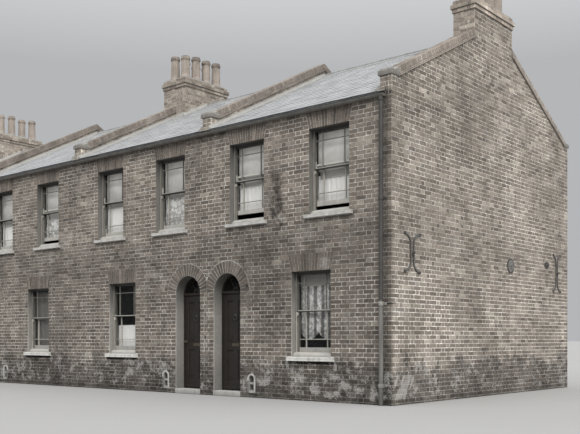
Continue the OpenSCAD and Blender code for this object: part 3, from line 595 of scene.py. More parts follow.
def mat_tie(name):
    """Wrought iron on the gable: faces weathered grey and painted paler as highlight, rims dark as painted shade, dark
    nuts and tips, rust below.
    """
    g = G(name, Roughness=0.7, Metallic=0.0)
    x, y, z = g.xyz()
    # painted highlight: the outward faces of the ties and the inside of the round plate paler than the dark iron
    face = g.math("MULTIPLY", g.step(x, 8.5905, 8.5925), g.step(x, 8.603, 8.600))
    c = g.mix(g.noise(14, 4, 0.65), (0.030, 0.029, 0.028), (0.062, 0.059, 0.056))
    r = g.math("POWER", g.math("ADD", g.math("POWER", g.math("SUBTRACT", y, 0.72), 2.0),
                               g.math("POWER", g.math("SUBTRACT", z, 2.585), 2.0)), 0.5)
    disc = g.math("MULTIPLY", g.step(r, 0.126, 0.116), g.step(g.noise(16, 5, 0.75), 0.36, 0.56, 0.25, 1.0))
    c = g.mix(disc, c, (0.205, 0.198, 0.184))
    near = g.step(g.math("ABSOLUTE", g.math("SUBTRACT", y, 0.72)), 0.30, 0.34)
    bars = g.math("MULTIPLY", g.math("MULTIPLY", face, near), g.step(g.noise(11, 4, 0.7), 0.30, 0.60, 0.35, 1.0))
    c = g.mix(bars, c, (0.125, 0.120, 0.111))
    rust = g.math("MULTIPLY", g.step(g.noise(19, 5, 0.75), 0.56, 0.66), 0.45)
    c = g.mix(rust, c, (0.105, 0.062, 0.040))
    g.color(c)
    g.bump(g.noise(55, 4, 0.7), 0.4, 0.002)
    return g.m


def mat_wood(name):
    g = G(name, Roughness=0.7)
    x, y, z = g.xyz()
    board = g.math("FRACT", g.math("DIVIDE", x, 0.165))
    gap = g.step(g.math("ABSOLUTE", g.math("SUBTRACT", board, 0.5)), 0.480, 0.488, 1.0, 0.25)
    ident = g.math("FLOOR", g.math("DIVIDE", x, 0.165))
    shade = g.noise(7.3, 0, 0.5, vec=g.grey(ident))
    grain = g.noise(1.0, 5, 0.65, vec=g.scaled(60, 2.5, 40))
    c = g.mix(grain, (0.115, 0.078, 0.050), (0.235, 0.172, 0.115))
    c = g.times(c, g.step(shade, 0.3, 0.7, 0.8, 1.2))
    c = g.times(c, gap)
    g.color(c)
    g.bump(g.math("ADD", grain, g.math("MULTIPLY", gap, 2.0)), 0.3, 0.002)
    return g.m


def mat_glass():
    g = G("old_glass", Roughness=0.06)
    g.p.inputs["Base Color"].default_value = (0.07, 0.075, 0.075, 1)
    g.p.inputs["Alpha"].default_value = 0.06
    g.p.inputs["Specular IOR Level"].default_value = 0.9
    g.p.inputs["IOR"].default_value = 1.5
    g.bump(g.noise(5, 3), 0.08, 0.003)
    return g.m


def mat_cloth(name, colour, weave=1400.0, trans=0.35, pattern=None, stripes=False, shade_below_rail=None, top_lit_gradient=False):
    """Woven cotton: fine warp and weft, slight yellowing, some light let through."""
    g = G(name, Roughness=0.9)
    g.p.inputs["Specular IOR Level"].default_value = 0.15
    g.p.inputs["Sheen Weight"].default_value = 0.15
    x, y, z = g.xyz()
    warp = g.math("SINE", g.math("MULTIPLY", x, weave))
    weft = g.math("SINE", g.math("MULTIPLY", z, weave))
    tex = g.math("MULTIPLY", warp, weft)
    c = g.mix(g.noise(3.5, 4, 0.6), tuple(k * 0.90 for k in colour), colour)
    c = g.times(c, g.step(tex, -1, 1, 0.95, 1.03, smooth=False))
    if pattern == "lace":
        # sprigs and a mesh ground: denser thread is whiter
        mesh = g.step(g.voronoi(95, vec=g.scaled(1, 0.05, 1)), 0.30, 0.55, 0.70, 1.0)
        sprig = g.step(g.noise(16, 3, 0.7, vec=g.scaled(1, 0.05, 1)), 0.46, 0.54, 0.60, 1.10)
        rings = g.step(g.voronoi(11, vec=g.scaled(1, 0.05, 0.8)), 0.16, 0.24, 1.12, 0.92)
        c = g.times(c, mesh)
        c = g.times(c, g.math("MULTIPLY", sprig, rings))
    if stripes:
        # close-worked stripes with thin net between them
        stripe = g.math("COSINE", g.math("MULTIPLY", g.math("SUBTRACT", x, 6.5196), 2 * math.pi / 0.1712))
        c = g.times(c, g.step(stripe, -0.75, 0.15, 0.30, 1.0))
        c = g.times(c, g.step(z, 1.08, 1.56, 0.52, 1.0))
    if top_lit_gradient:
        # painted light: the drawn blind lighter at the top and darker towards its foot, and a little blotchy
        c = g.times(c, g.step(z, 4.10, 4.70, 0.58, 1.16))
        c = g.times(c, g.step(g.noise(4.2, 4, 0.65), 0.3, 0.7, 0.88, 1.08))
    if shade_below_rail:
        # painted shade: the holland blind darker below the meeting rail, where it is seen through the lower sash
        m = g.math("MULTIPLY", g.step(z, shade_below_rail[0] + 0.004, shade_below_rail[0] - 0.004), g.step(z, 3.0, 3.1))
        c = g.times(c, g.math("SUBTRACT", 1.0, g.math("MULTIPLY", m, 1.0 - shade_below_rail[1])))
    g.color(c)
    g.bump(tex, 0.25, 0.0006)
    if trans:
        mixn = g.n("ShaderNodeMixShader")
        tr = g.n("ShaderNodeBsdfTranslucent")
        g.put(tr.inputs["Color"], c)
        mixn.inputs[0].default_value = trans
        g.put(mixn.inputs[1], g.p.outputs[0])
        g.put(mixn.inputs[2], tr.outputs[0])
        g.put(g.out.inputs[0], mixn.outputs[0])
    return g.m


MAT = {
    "brick": mat_brick("stock_brick", STOCK),
    "brick_back": mat_brick("stock_brick_back", STOCK, salts=0.6),
    "arch": mat_brick("arch_brick", ARCH, soot_and_shade=0.8, salts=0.5, gain=1.0),
    "coping": mat_brick("coping_brick", RED, soot_and_shade=0.0, salts=0.8, gain=1.25),
    "stack": mat_brick("stack_brick", STOCK, soot_and_shade=0.0, salts=0.9, gain=1.90),
    "masonry": mat_masonry(),
    "mortar": mat_mortar("mortar", (0.330, 0.313, 0.286), (0.480, 0.460, 0.428)),
    "fillet": mat_mortar("lime_fillet", (0.285, 0.277, 0.258), (0.390, 0.382, 0.358), soot_and_shade=0.12),
    "stone": mat_stone("sill_stone", (0.375, 0.366, 0.343), (0.500, 0.490, 0.465), sills=True),
    "cap": mat_stone("cap_stone", (0.170, 0.158, 0.142), (0.275, 0.260, 0.238)),
    "step": mat_stone("step_stone", (0.330, 0.322, 0.302), (0.470, 0.460, 0.438), foot=True),
    "surround": mat_stone("surround_stone", (0.375, 0.366, 0.343), (0.520, 0.510, 0.485), legs=True),
    "slate": mat_slate(),
    # painted light: a paler copy of the slate for the slates' edge faces, to lift their shade
    "slate_edge_lightened": mat_slate("slate_edge_lightened", 1.75),
    "under": mat_stone("slate_bed", (0.130, 0.134, 0.140), (0.180, 0.184, 0.190)),
    "ridge": mat_clay("ridge_clay", [(0.3, (0.200, 0.200, 0.200)), (0.7, (0.310, 0.308, 0.300))]),
    "pot": mat_clay("pot_clay", [(0.25, (0.270, 0.228, 0.192)), (0.75, (0.400, 0.345, 0.295))], 8.12, 8.45),
    "sash": mat_paint("sash_paint", (0.120, 0.114, 0.101), wear=(0.20, 0.18, 0.15), amount=0.3, rails=(0.360, 0.348, 0.318), head_shade=True),
    "lining": mat_paint("lining_paint", (0.200, 0.191, 0.170), amount=0.3, head_shade=True),
    "bar": mat_paint("bar_paint", (0.205, 0.195, 0.173), amount=0.2, lit_lower_bars=True),
    # painted shade: the blind rollers near black, for the shade under the window heads
    "roller": mat_paint("roller_painted_shade", (0.045, 0.036, 0.028), amount=0.0, rough=0.7, grain_dir="X"),
    # painted shade: a dark mortar for the CAD bedding under copings and caps, reading as their shadow line
    "bed": mat_mortar("bed_mortar", (0.150, 0.141, 0.127), (0.255, 0.243, 0.222)),
    "sill_paint": mat_paint("sill_paint", (0.435, 0.422, 0.390), amount=0.3, grain_dir="X"),
    "frame": mat_paint("door_frame_paint", (0.034, 0.029, 0.026), wear=(0.12, 0.10, 0.08), amount=0.25, gloss=0.2),
    "door": mat_paint("door_paint", (0.026, 0.022, 0.020), wear=(0.08, 0.065, 0.05), amount=0.3, rough=0.45, gloss=0.25),
    "boards": mat_paint("back_door_paint", (0.075, 0.082, 0.075), amount=0.6, rough=0.55),
    "iron": mat_iron("iron", (0.040, 0.039, 0.038)),
    "tie": mat_tie("tie_iron"),
    "scraper": mat_iron("scraper_iron", (0.300, 0.290, 0.270), rust=0.45),
    "pipe": mat_iron("pipe_paint", (0.046, 0.044, 0.042), rust=0.25, low=(1.722, (0.158, 0.151, 0.139))),
    "gutter": mat_gutter("gutter_paint"),
    "brass": mat_iron("worn_brass", (0.062, 0.050, 0.033), rust=0.3),
    "wood": mat_wood("floor_boards"),
    "glass": mat_glass(),
    "blind": mat_cloth("blind_holland", (0.80, 0.786, 0.745), trans=0.05, top_lit_gradient=True),
    "blind_pelmet": mat_cloth("blind_pelmet", (0.33, 0.322, 0.302), trans=0.12),
    "blind_grey": mat_cloth("blind_grey", (0.17, 0.165, 0.155), trans=0.12),
    "net": mat_cloth("net_muslin", (0.97, 0.96, 0.93), trans=0.08),
    "blind_shaded_below_rail": mat_cloth("blind_shaded_below_rail", (0.86, 0.845, 0.80), trans=0.05, shade_below_rail=(4.107, 0.66), top_lit_gradient=True),
    "lace": mat_cloth("lace", (0.96, 0.95, 0.92), trans=0.08, pattern="lace"),
    "lace_striped": mat_cloth("lace_striped", (0.96, 0.95, 0.92), trans=0.08, pattern="lace", stripes=True),
    "drab": mat_cloth("drab_serge", (0.155, 0.148, 0.135), trans=0.05),
}


# ---------------------------------------------------------------- mesh building
class Bag:
    """Polygons for one joined mesh, with a random tone for each brick or slate."""

    def __init__(self):
        self.v, self.f, self.t, self.s = [], [], [], []

    def add(self, verts, faces, tone=(0.5, 0.5, 0.5), slot=0):
        k = len(self.v)
        self.v.extend(verts)
        for f in faces:
            self.f.append(tuple(k + i for i in f))
            self.t.append(tone)
            self.s.append(slot)

    def object(self, name, mats, smooth=False, body=ROOT, slot=None):
        me = bpy.data.meshes.new(name)
        me.from_pydata(self.v, [], self.f)
        counts = np.array([len(f) for f in self.f])
        col = np.ones((counts.sum(), 4), np.float32)
        col[:, :3] = np.repeat(np.array(self.t, np.float32), counts, axis=0)
        a = me.color_attributes.new("tone", "FLOAT_COLOR", "CORNER")
        a.data.foreach_set("color", col.ravel())
        for m in mats if isinstance(mats, (list, tuple)) else [mats]:
            me.materials.append(m)
        me.polygons.foreach_set("material_index", self.s)
        if smooth:
            me.polygons.foreach_set("use_smooth", [True] * len(self.f))
        me.validate()
        me.update()
        ob = bpy.data.objects.new(name, me)
        bpy.context.scene.collection.objects.link(ob)
        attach(ob, body)
        return ob


def inset(poly, b):
    out, n = [], len(poly)
    for i in range(n):
        x0, y0 = poly[i - 1]
        x1, y1 = poly[i]
        x2, y2 = poly[(i + 1) % n]
        ax, ay, bx, by = x1 - x0, y1 - y0, x2 - x1, y2 - y1
        la, lb = math.hypot(ax, ay) or 1e-9, math.hypot(bx, by) or 1e-9
        nx, ny, mx, my = -ay / la, ax / la, -by / lb, bx / lb
        k = b / max(0.35, 1 + nx * mx + ny * my)
        out.append((x1 + (nx + mx) * k, y1 + (ny + my) * k))
    return out


def clip(poly, a, b, c):
    """The part of a convex polygon where a*u + b*z <= c."""
    out, n = [], len(poly)
    for i in range(n):
        p, q = poly[i], poly[(i + 1) % n]
        dp, dq = a * p[0] + b * p[1] - c, a * q[0] + b * q[1] - c
        if dp <= 0:
            out.append(p)
        if dp * dq < 0:
            t = dp / (dp - dq)
            out.append((p[0] + (q[0] - p[0]) * t, p[1] + (q[1] - p[1]) * t))
    return out


def area(poly):
    return 0.5 * sum(poly[i][0] * poly[(i + 1) % len(poly)][1] - poly[(i + 1) % len(poly)][0] * poly[i][1]
                     for i in range(len(poly)))


def tidy(poly, eps=0.0015):
    out = []
    for p in poly:
        if not out or math.hypot(p[0] - out[-1][0], p[1] - out[-1][1]) > eps:
            out.append(p)
    if len(out) > 2 and math.hypot(out[0][0] - out[-1][0], out[0][1] - out[-1][1]) <= eps:
        out.pop()
    return out


class Face:
    """A wall plane: (u, z) on it and h out of it, in the row frame."""

    def __init__(self, origin, u, n):
        self.o, self.u, self.n = Vector(origin), Vector(u), Vector(n)
        self.flip = self.u.cross(Vector((0, 0, 1))).dot(self.n) < 0

    def at(self, p, h):
        q = self.o + self.u * p[0] + self.n * h
        return (q.x, q.y, q.z + p[1])

    def prism(self, bag, poly, h0, h1, bev, tone, back=False):
        """poly is CCW in (u, z); the piece stands out from h0 to h1 with a small arris."""
        poly = tidy(poly)
        n = len(poly)
        if n < 3 or area(poly) < 1e-5:
            return
        small = inset(poly, bev)
        if area(small) <= 0:
            small = [(sum(p[0] for p in poly) / n * 0.1 + p[0] * 0.9, sum(p[1] for p in poly) / n * 0.1 + p[1] * 0.9) for p in poly]
        v = [self.at(p, h0) for p in poly] + [self.at(p, h1 - bev) for p in poly] + [self.at(p, h1) for p in small]
        f = []
        for i in range(n):
            j = (i + 1) % n
            f.append((i, j, n + j, n + i))
            f.append((n + i, n + j, 2 * n + j, 2 * n + i))
        f.append(tuple(range(2 * n, 3 * n)))
        if back:
            f.append(tuple(range(n - 1, -1, -1)))
        if self.flip:
            f = [tuple(reversed(k)) for k in f]
        bag.add(v, f, tone)


RND = random.Random(1887)


def tone():
    return (RND.random(), RND.random(), RND.random())


STRETCH, HEAD, JOINT = 0.218, 0.1015, 0.012
PERIOD = STRETCH + HEAD + 2 * JOINT


def course_bricks(a, b, k, anchor):
    """Flemish bond across one run: stretcher, header in turn, closers kept behind the end headers."""
    off = anchor + (PERIOD / 2 if k % 2 else 0.0)
    i = math.floor((a - off) / PERIOD) - 1
    out = []
    while True:
        s0 = off + i * PERIOD
        for lo, hi, kind in ((s0, s0 + STRETCH, "s"), (s0 + STRETCH + JOINT, s0 + PERIOD - JOINT, "h")):
            lo, hi = max(lo, a), min(hi, b)
            if hi - lo > 0.004:
                out.append([lo, hi, kind])
        if s0 > b:
            break
        i += 1
    if not out:
        return out
    out[0][0], out[-1][1] = a, b
    for end in (0, -1):
        if len(out) < 2:
            break
        e, nb = out[end], out[1 if end == 0 else -2]
        w = e[1] - e[0]
        if w < 0.075:
            lo, hi = min(e[0], nb[0]), max(e[1], nb[1])
            if nb[1] - nb[0] > 0.15:  # a stretcher and a sliver: two equal bats
                mid = (lo + hi) / 2
                first, second = [lo, mid - JOINT / 2, "b"], [mid + JOINT / 2, hi, "b"]
            elif w < 0.036:  # too thin to cut: one brick
                out[end] = [lo, hi, "b"]
                out.remove(nb)
                continue
            elif end == 0:  # header at the end, closer behind it
                hw = nb[1] - nb[0]
                first, second = [lo, lo + hw, "h"], [lo + hw + JOINT, hi, "c"]
            else:
                hw = nb[1] - nb[0]
                first, second = [lo, hi - hw - JOINT, "c"], [hi - hw, hi, "h"]
            if end == 0:
                out[0], out[1] = first, second
            else:
                out[-2], out[-1] = first, second
    return out


def span_at(poly, z):
    """The (low, high) u of a convex polygon at height z, or None."""
    us = []
    n = len(poly)
    for i in range(n):
        (u0, z0), (u1, z1) = poly[i], poly[(i + 1) % n]
        if (z0 - z) * (z1 - z) <= 0 and abs(z1 - z0) > 1e-9:
            us.append(u0 + (u1 - u0) * (z - z0) / (z1 - z0))
    return (min(us), max(us)) if len(us) > 1 else None


def lay(bag, face, z0, z1, extent, polys=(), circles=(), cut=None, anchor=0.0, parity=0,
        proud=(0.0020, 0.0046), least=0.0009, tones=tone, jitter=0.0014):
    """Courses of bricks on a face from z0 to z1. extent(z) gives the runs of wall; polys and circles are
    kept clear; cut(polygon) may trim a brick against a slope and returns a list."""
    k0, k1 = math.floor((z0 - BED0) / COURSE) - 1, math.ceil((z1 - BED0) / COURSE) + 1
    boxes = [(min(u for u, _ in p), max(u for u, _ in p), min(z for _, z in p), max(z for _, z in p), p) for p in polys]
    for k in range(k0, k1):
        lo, hi = BED0 + k * COURSE + 0.006, BED0 + (k + 1) * COURSE - 0.006
        lo, hi = max(lo, z0), min(hi, z1)
        if hi - lo < 0.020:
            continue
        zm = (lo + hi) / 2
        runs = list(extent(zm))
        holes = []
        for u0, u1, q0, q1, p in boxes:
            if q0 < zm < q1:
                spans = [s for s in (span_at(p, min(max(z, q0 + 1e-4), q1 - 1e-4)) for z in (lo, hi)) if s]
                if spans:
                    holes.append((max(s[0] for s in spans), min(s[1] for s in spans)))
        for uc, zc, r in circles:
            dz = max(abs(lo - zc), abs(hi - zc))
            if zm > zc and dz < r:
                w = math.sqrt(r * r - dz * dz)
                holes.append((uc - w, uc + w))
        for a, b in holes:
            nxt = []
            for p, q in runs:
                if b <= p or a >= q:
                    nxt.append((p, q))
                else:
                    if a > p:
                        nxt.append((p, a))
                    if b < q:
                        nxt.append((b, q))
            runs = nxt
        for a, b in runs:
            if b - a < 0.02:
                continue
            for u0, u1, kind in course_bricks(a, b, k + parity, anchor):
                j = lambda: RND.uniform(-jitter, jitter)
                pieces = [[(u0 + j(), lo + j()), (u1 + j(), lo + j()), (u1 + j(), hi + j()), (u0 + j(), hi + j())]]
                for bu0, bu1, q0, q1, p in boxes:
                    if bu0 < u1 and bu1 > u0 and q0 < hi and q1 > lo:
                        nxt = []
                        for piece in pieces:
                            rem = piece
                            for i in range(len(p)):
                                (x0, y0), (x1, y1) = p[i], p[(i + 1) % len(p)]
                                na, nb = y1 - y0, x0 - x1  # outward for CCW
                                c = na * x0 + nb * y0
                                outside = clip(rem, -na, -nb, -c)
                                if len(outside) > 2 and area(outside) > least:
                                    nxt.append(outside)
                                rem = clip(rem, na, nb, c)
                                if len(rem) < 3:
                                    break
                        pieces = nxt
                for uc, zc, r in circles:
                    if hi > zc:
                        nxt = []
                        for piece in pieces:
                            cu, cz = sum(p[0] for p in piece) / len(piece) - uc, sum(p[1] for p in piece) / len(piece) - zc
                            l = math.hypot(cu, cz) or 1
                            if cz > -0.02 and min(math.hypot(p[0] - uc, p[1] - zc) for p in piece) < r + 0.05:
                                cu, cz = cu / l, cz / l
                                piece = clip(piece, -cu, -cz, -(cu * uc + cz * zc + r))
                            nxt.append(piece)
                        pieces = nxt
                if cut:
                    pieces = [q for piece in pieces for q in cut(piece)]
                tn, h = tones(), RND.uniform(*proud)
                for piece in pieces:
                    piece = tidy(piece, 0.003)
                    if len(piece) < 3 or area(piece) < least:
                        continue
                    us, zs = [p[0] for p in piece], [p[1] for p in piece]
                    if max(us) - min(us) < 0.020 or max(zs) - min(zs) < 0.016:
                        continue
                    face.prism(bag, piece, -0.004, h, 0.0022, tn)


def rect(a, b, c, d):
    return [(a, c), (b, c), (b, d), (a, d)]


FRONT = Face((0, YF, 0), (1, 0, 0), (0, -1, 0))
BACK = Face((0, -YF, 0), (1, 0, 0), (0, 1, 0))
GABLE = Face((H + HT, 0, 0), (0, 1, 0), (1, 0, 0))
LEFT = Face((-H - HT, 0, 0), (0, 1, 0), (-1, 0, 0))
WALL_TOP = rt(0) - VT


# ---------------------------------------------------------------- window and door arches
def flat_arch(bag, face, x, half, z0, z1, skew, n, keep=None):
    """A flat arch of upright bricks, fanned a little, each cut in two at staggered heights."""
    for i in range(n):
        def edge(f, z):
            w = half + skew * (z - z0) / (z1 - z0)
            return x - w + 2 * w * f
        a, b = i / n, (i + 1) / n
        g = 0.0045
        tn = (RND.uniform(0.2, 0.8), RND.random(), RND.uniform(0, 0.9))
        cuts = [z0, z0 + (z1 - z0) * (0.34 if i % 2 else 0.66) + RND.uniform(-0.004, 0.004), z1]
        for lo, hi in zip(cuts, cuts[1:]):
            lo2, hi2 = lo + (0.002 if lo > z0 else 0), hi - (0.002 if hi < z1 else 0)
            q = [(edge(a, lo2) + g, lo2), (edge(b, lo2) - g, lo2), (edge(b, hi2) - g, hi2), (edge(a, hi2) + g, hi2)]
            face.prism(bag, q, -0.004, RND.uniform(0.0035, 0.0052), 0.0018,
                       (min(1, max(0, tn[0] + RND.uniform(-0.12, 0.12))), tn[1], tn[2]))


def door_ring(bag, face, xc, s):
    """One ring of 21 thin voussoirs; the two rings of a pair meet on the party line."""
    uc, n, g = xc + s * (DOOR_IN + DOOR_R), 21, 0.0062
    for i in range(n):
        a0, a1 = math.pi * i / n, math.pi * (i + 1) / n
        tn, h = (RND.uniform(0.1, 0.9), RND.random(), RND.uniform(0, 0.92)), RND.uniform(0.0038, 0.0056)
        pts = []
        for r, a, sg in ((DOOR_R + 0.006, a0, 1), (DOOR_R + RING, a0, 1), (DOOR_R + RING, a1, -1), (DOOR_R + 0.006, a1, -1)):
            pts.append((uc + r * math.cos(a) - sg * g * math.sin(a), SPRING + r * math.sin(a) + sg * g * math.cos(a)))
        pts = clip(pts, -s, 0, -s * xc - 0.005)
        if len(pts) > 2:
            if area(pts) < 0:
                pts.reverse()
            face.prism(bag, pts, -0.004, h, 0.0018, tn)


def wall_obstacles(side):
    polys, circles = [], []
    for name, sd, x, w, sill, head, lift in WINDOWS:
        if sd != side:
            continue
        hw, t = w / 2, (GR_SILL if sill < 2 else UP_SILL)
        polys.append(rect(x - hw, x + hw, sill - t, head))
        polys.append(rect(x - hw - STOP - 0.004, x + hw + STOP + 0.004, sill - t - 0.002, sill + 0.002))
        top = WALL_TOP if head > 4 else head + 4 * COURSE
        sk = 0.075
        polys.append([(x - hw - 0.004, head), (x + hw + 0.004, head), (x + hw + sk + 0.005, top + 0.004), (x - hw - sk - 0.005, top + 0.004)])
    if side == 1:
        for xc in PAIRS:
            for s in SIDES:
                a, b = sorted((xc + s * DOOR_IN, xc + s * DOOR_OUT))
                polys.append(rect(a, b, 0, SPRING))
                circles.append((xc + s * (DOOR_IN + DOOR_R), SPRING, DOOR_R + RING + 0.013))
                x = xc + s * 1.205
                polys.append(rect(x - 0.102, x + 0.102, 0.083, 0.362))
                circles.append((x, 0.350, 0.104))
            # below the springing the rings' feet are the pier's own bricks
    else:
        for xc in PAIRS:
            for s in SIDES:
                x = xc + s * 1.075
                polys.append(rect(x - 0.444, x + 0.444, 0, 2.080))
                polys.append([(x - 0.448, 2.08), (x + 0.448, 2.08), (x + 0.524, 2.08 + 3 * COURSE), (x - 0.524, 2.08 + 3 * COURSE)])
    return polys, circles


def outer_walls():
    for side, face, nm in ((1, FRONT, "front"), (-1, BACK, "back")):
        polys, circles = wall_obstacles(side)
        bag = Bag()

        def extent(z):
            if z < WALL_TOP:
                return [(-H - HT, H + HT)]
            return [(x - HT, x + HT) for x in (-H, -P, 0, P, H)]

        lay(bag, face, 0.0, WALL_TOP, extent, polys, circles, anchor=H + HT - STRETCH)
        lay(bag, face, WALL_TOP + 0.004, KN_Z, extent, anchor=H + HT - STRETCH)
        bag.object(nm + "_wall_bricks", MAT["brick"] if side == 1 else MAT["brick_back"], slot="brickwork")
        arch = Bag()
        for name, sd, x, w, sill, head, lift in WINDOWS:
            if sd == side:
                top = WALL_TOP if head > 4 else head + 4 * COURSE
                flat_arch(arch, face, x, w / 2, head + 0.001, top, 0.075, 15)
        if side == 1:
            for xc in PAIRS:
                for s in SIDES:
                    door_ring(arch, face, xc, s)
        else:
            for xc in PAIRS:
                for s in SIDES:
                    flat_arch(arch, face, xc + s * 1.075, 0.444, 2.081, 2.08 + 3 * COURSE, 0.075, 13)
        arch.object(nm + "_arch_bricks", MAT["arch"], slot="gauged_brickwork")


def gable_cut(poly):
    """Trims a brick to the gable's outline: parapet slopes, level kneelers, the stack."""
    cu = sum(p[0] for p in poly) / len(poly)
    if abs(cu) <= MID - END_D + 0.02:
        return [poly]
    d = MID - abs(cu)
    if d < 0.197 and max(p[1] for p in poly) <= KN_Z + 0.01:
        return [clip(poly, 0, 1, KN_Z - 0.002)]
    sg = 1 if cu > 0 else -1
    # z <= zp(MID - sg*u)
    return [clip(poly, sg * M, 1, zp(MID) - 0.004)]


def end_walls():
    for face, nm in ((GABLE, "gable"), (LEFT, "left_end")):
        bag = Bag()

        def extent(z):
            if z > zp(END_D):
                w = MID - END_D
            elif z > KN_Z:
                w = MID - max(0.0, (z - 0.035 - zp(0)) / M)
            else:
                w = MID
            return [(-w, w)]

        lay(bag, face, 0.0, STACKS[1][3], extent, cut=gable_cut, anchor=YF + 0.0, parity=1)
        bag.object(nm + "_bricks", MAT["brick"], slot="brickwork")


def parapets_and_stacks():
    bag = Bag()

    def side_cut(u_stop):
        def cut(poly):
            cu = sum(p[0] for p in poly) / len(poly)
            sg = 1 if cu > 0 else -1
            d = MID - abs(cu)
            poly = clip(poly, -sg * M, -1, -(rt(MID)) + 0.0)          # above the slates
            if len(poly) > 2:
                if d < 0.197:
                    poly = clip(poly, 0, 1, KN_Z - 0.002)
                else:
                    poly = clip(poly, sg * M, 1, zp(MID) - 0.002)
            return [poly] if len(poly) > 2 else []
        return cut

    for xw in (-H, -P, 0, P, H):
        for sx in SIDES:
            if xw == H and sx == 1 or xw == -H and sx == -1:
                continue
            face = Face((xw + sx * HT, 0, 0), (0, 1, 0), (sx, 0, 0))
            stop = {0: MID_D, P: MID - 0.004, -P: MID - 0.004}.get(xw, END_D)
            inner = MID - stop

            def extent(z, inner=inner):
                # the strip between slates and parapet top at this height
                d0 = max(0.0, (z - 0.04 - zp(0)) / M)
                if z < KN_Z + 0.04:
                    d0 = 0.0
                d1 = min(stop, (z + 0.04 - EAVES) / M - OVER)
                return [(-MID + d0, -MID + d1), (MID - d1, MID - d0)] if d1 - d0 > 0.03 else []

            lay(bag, face, EAVES - 0.02, zp(stop), extent, cut=side_cut(stop), anchor=0.0, least=0.0006)
    bag.object("parapet_bricks", MAT["stack"], slot="brickwork")

    bag = Bag()
    for x0, x1, d, ztop, outer in STACKS:
        hl = MID - d

        def roof_cut(poly):
            cu = sum(p[0] for p in poly) / len(poly)
            sg = 1 if cu > 0 else -1
            return [clip(poly, -sg * M, -1, -rt(MID) + 0.003)]

        for x, sx in ((x0, -1), (x1, 1)):
            if outer == sx:
                continue
            lay(bag, Face((x, 0, 0), (0, 1, 0), (sx, 0, 0)), rt(d) - 0.01, ztop, lambda z: [(-hl, hl)],
                cut=roof_cut, anchor=-hl, parity=1)
        for y, sy in ((-hl, -1), (hl, 1)):
            lay(bag, Face((0, y, 0), (1, 0, 0), (0, sy, 0)), rt(d) + 0.002, ztop, lambda z: [(x0, x1)],
                anchor=x1 - STRETCH)
        for k, o in enumerate((0.022, 0.045, 0.010)):
            za, zb = ztop + k * COURSE, ztop + (k + 1) * COURSE
            sh = BED0 + math.ceil((za - BED0) / COURSE) * COURSE - za
            for x, sx in ((x0 - o, -1), (x1 + o, 1)):
                f = Face((x, 0, -sh), (0, 1, 0), (sx, 0, 0))
                lay(bag, f, za + sh, zb + sh, lambda z: [(-hl - o, hl + o)], anchor=-hl - o, parity=k)
            for y, sy in ((-hl - o, -1), (hl + o, 1)):
                f = Face((0, y, -sh), (1, 0, 0), (0, sy, 0))
                lay(bag, f, za + sh, zb + sh, lambda z: [(x0 - o, x1 + o)], anchor=x1 + o - STRETCH, parity=k)
    bag.object("stack_bricks", MAT["stack"], slot="brickwork")

    # mortar flaunching that slopes away from the pots
    bag = Bag()
    for x0, x1, d, ztop, outer in STACKS:
        hl = MID - d
        z0 = ztop + 3 * COURSE
        n = 14
        rings = []
        for j, (o, h) in enumerate(((0.004, 0.0), (-0.006, 0.018), (-0.070, 0.056), (-0.110, 0.066))):
            pts = []
            a, b, c = x0 - o, x1 + o, hl + o
            for (p, q) in (((a, -c), (b, -c)), ((b, -c), (b, c)), ((b, c), (a, c)), ((a, c), (a, -c))):
                for i in range(n):
                    f = i / n
                    pts.append((p[0] + (q[0] - p[0]) * f, p[1] + (q[1] - p[1]) * f,
                                z0 + h + RND.uniform(-0.004, 0.004) * (j > 0)))
            rings.append(pts)
        v = [p for r in rings for p in r]
        m = 4 * n
        f = [(j * m + i, j * m + (i + 1) % m, (j + 1) * m + (i + 1) % m, (j + 1) * m + i) for j in range(3) for i in range(m)]
        f.append(tuple(range(3 * m, 4 * m)))
        bag.add(v, f)
    bag.object("stack_flaunching", MAT["fillet"], smooth=False, slot="gauged_brickwork")


def slope_box(bag, x0, x1, side, s0, s1, h0, h1, bev, tn):
    """A brick or tile lying on a sloping bed: s is measured up the slope from the wall face, h from the slates."""
    def at(x, s, h):
        y, z = YF + s * COS - h * SIN, s * SIN + h * COS
        y0 = y if side == 1 else -y
        return (x, y0, z + rt(0))
    b = bev
    v = [at(x0, s0, h0), at(x1, s0, h0), at(x1, s1, h0), at(x0, s1, h0),
         at(x0, s0, h1 - b), at(x1, s0, h1 - b), at(x1, s1, h1 - b), at(x0, s1, h1 - b),
         at(x0 + b, s0 + b, h1), at(x1 - b, s0 + b, h1), at(x1 - b, s1 - b, h1), at(x0 + b, s1 - b, h1)]
    f = [(3, 2, 1, 0)]
    for i in range(4):
        j = (i + 1) % 4
        f += [(i, j, 4 + j, 4 + i), (4 + i, 4 + j, 8 + j, 8 + i)]
    f.append((8, 9, 10, 11))
    if side == -1:
        f = [tuple(reversed(k)) for k in f]
    bag.add(v, f, tn)


def slope_wedge(bag, x0, x1, side, s, d_end, h0, h1, tn):
    """The cut piece between a square-cut end at s and an upright face at the depth d_end."""
    pts = [(YF + s * COS - h * SIN, rt(0) + s * SIN + h * COS) for h in (h0, h1)]
    pts += [(YF + d_end, rt(d_end) + h / COS) for h in (h1, h0)]
    v = [(x, y if side == 1 else -y, z) for x in (x0, x1) for y, z in pts]
    f = [(i, (i + 1) % 4, 4 + (i + 1) % 4, 4 + i) for i in range(4)] + [(3, 2, 1, 0), (4, 5, 6, 7)]
    bag.add(v, f, tn)


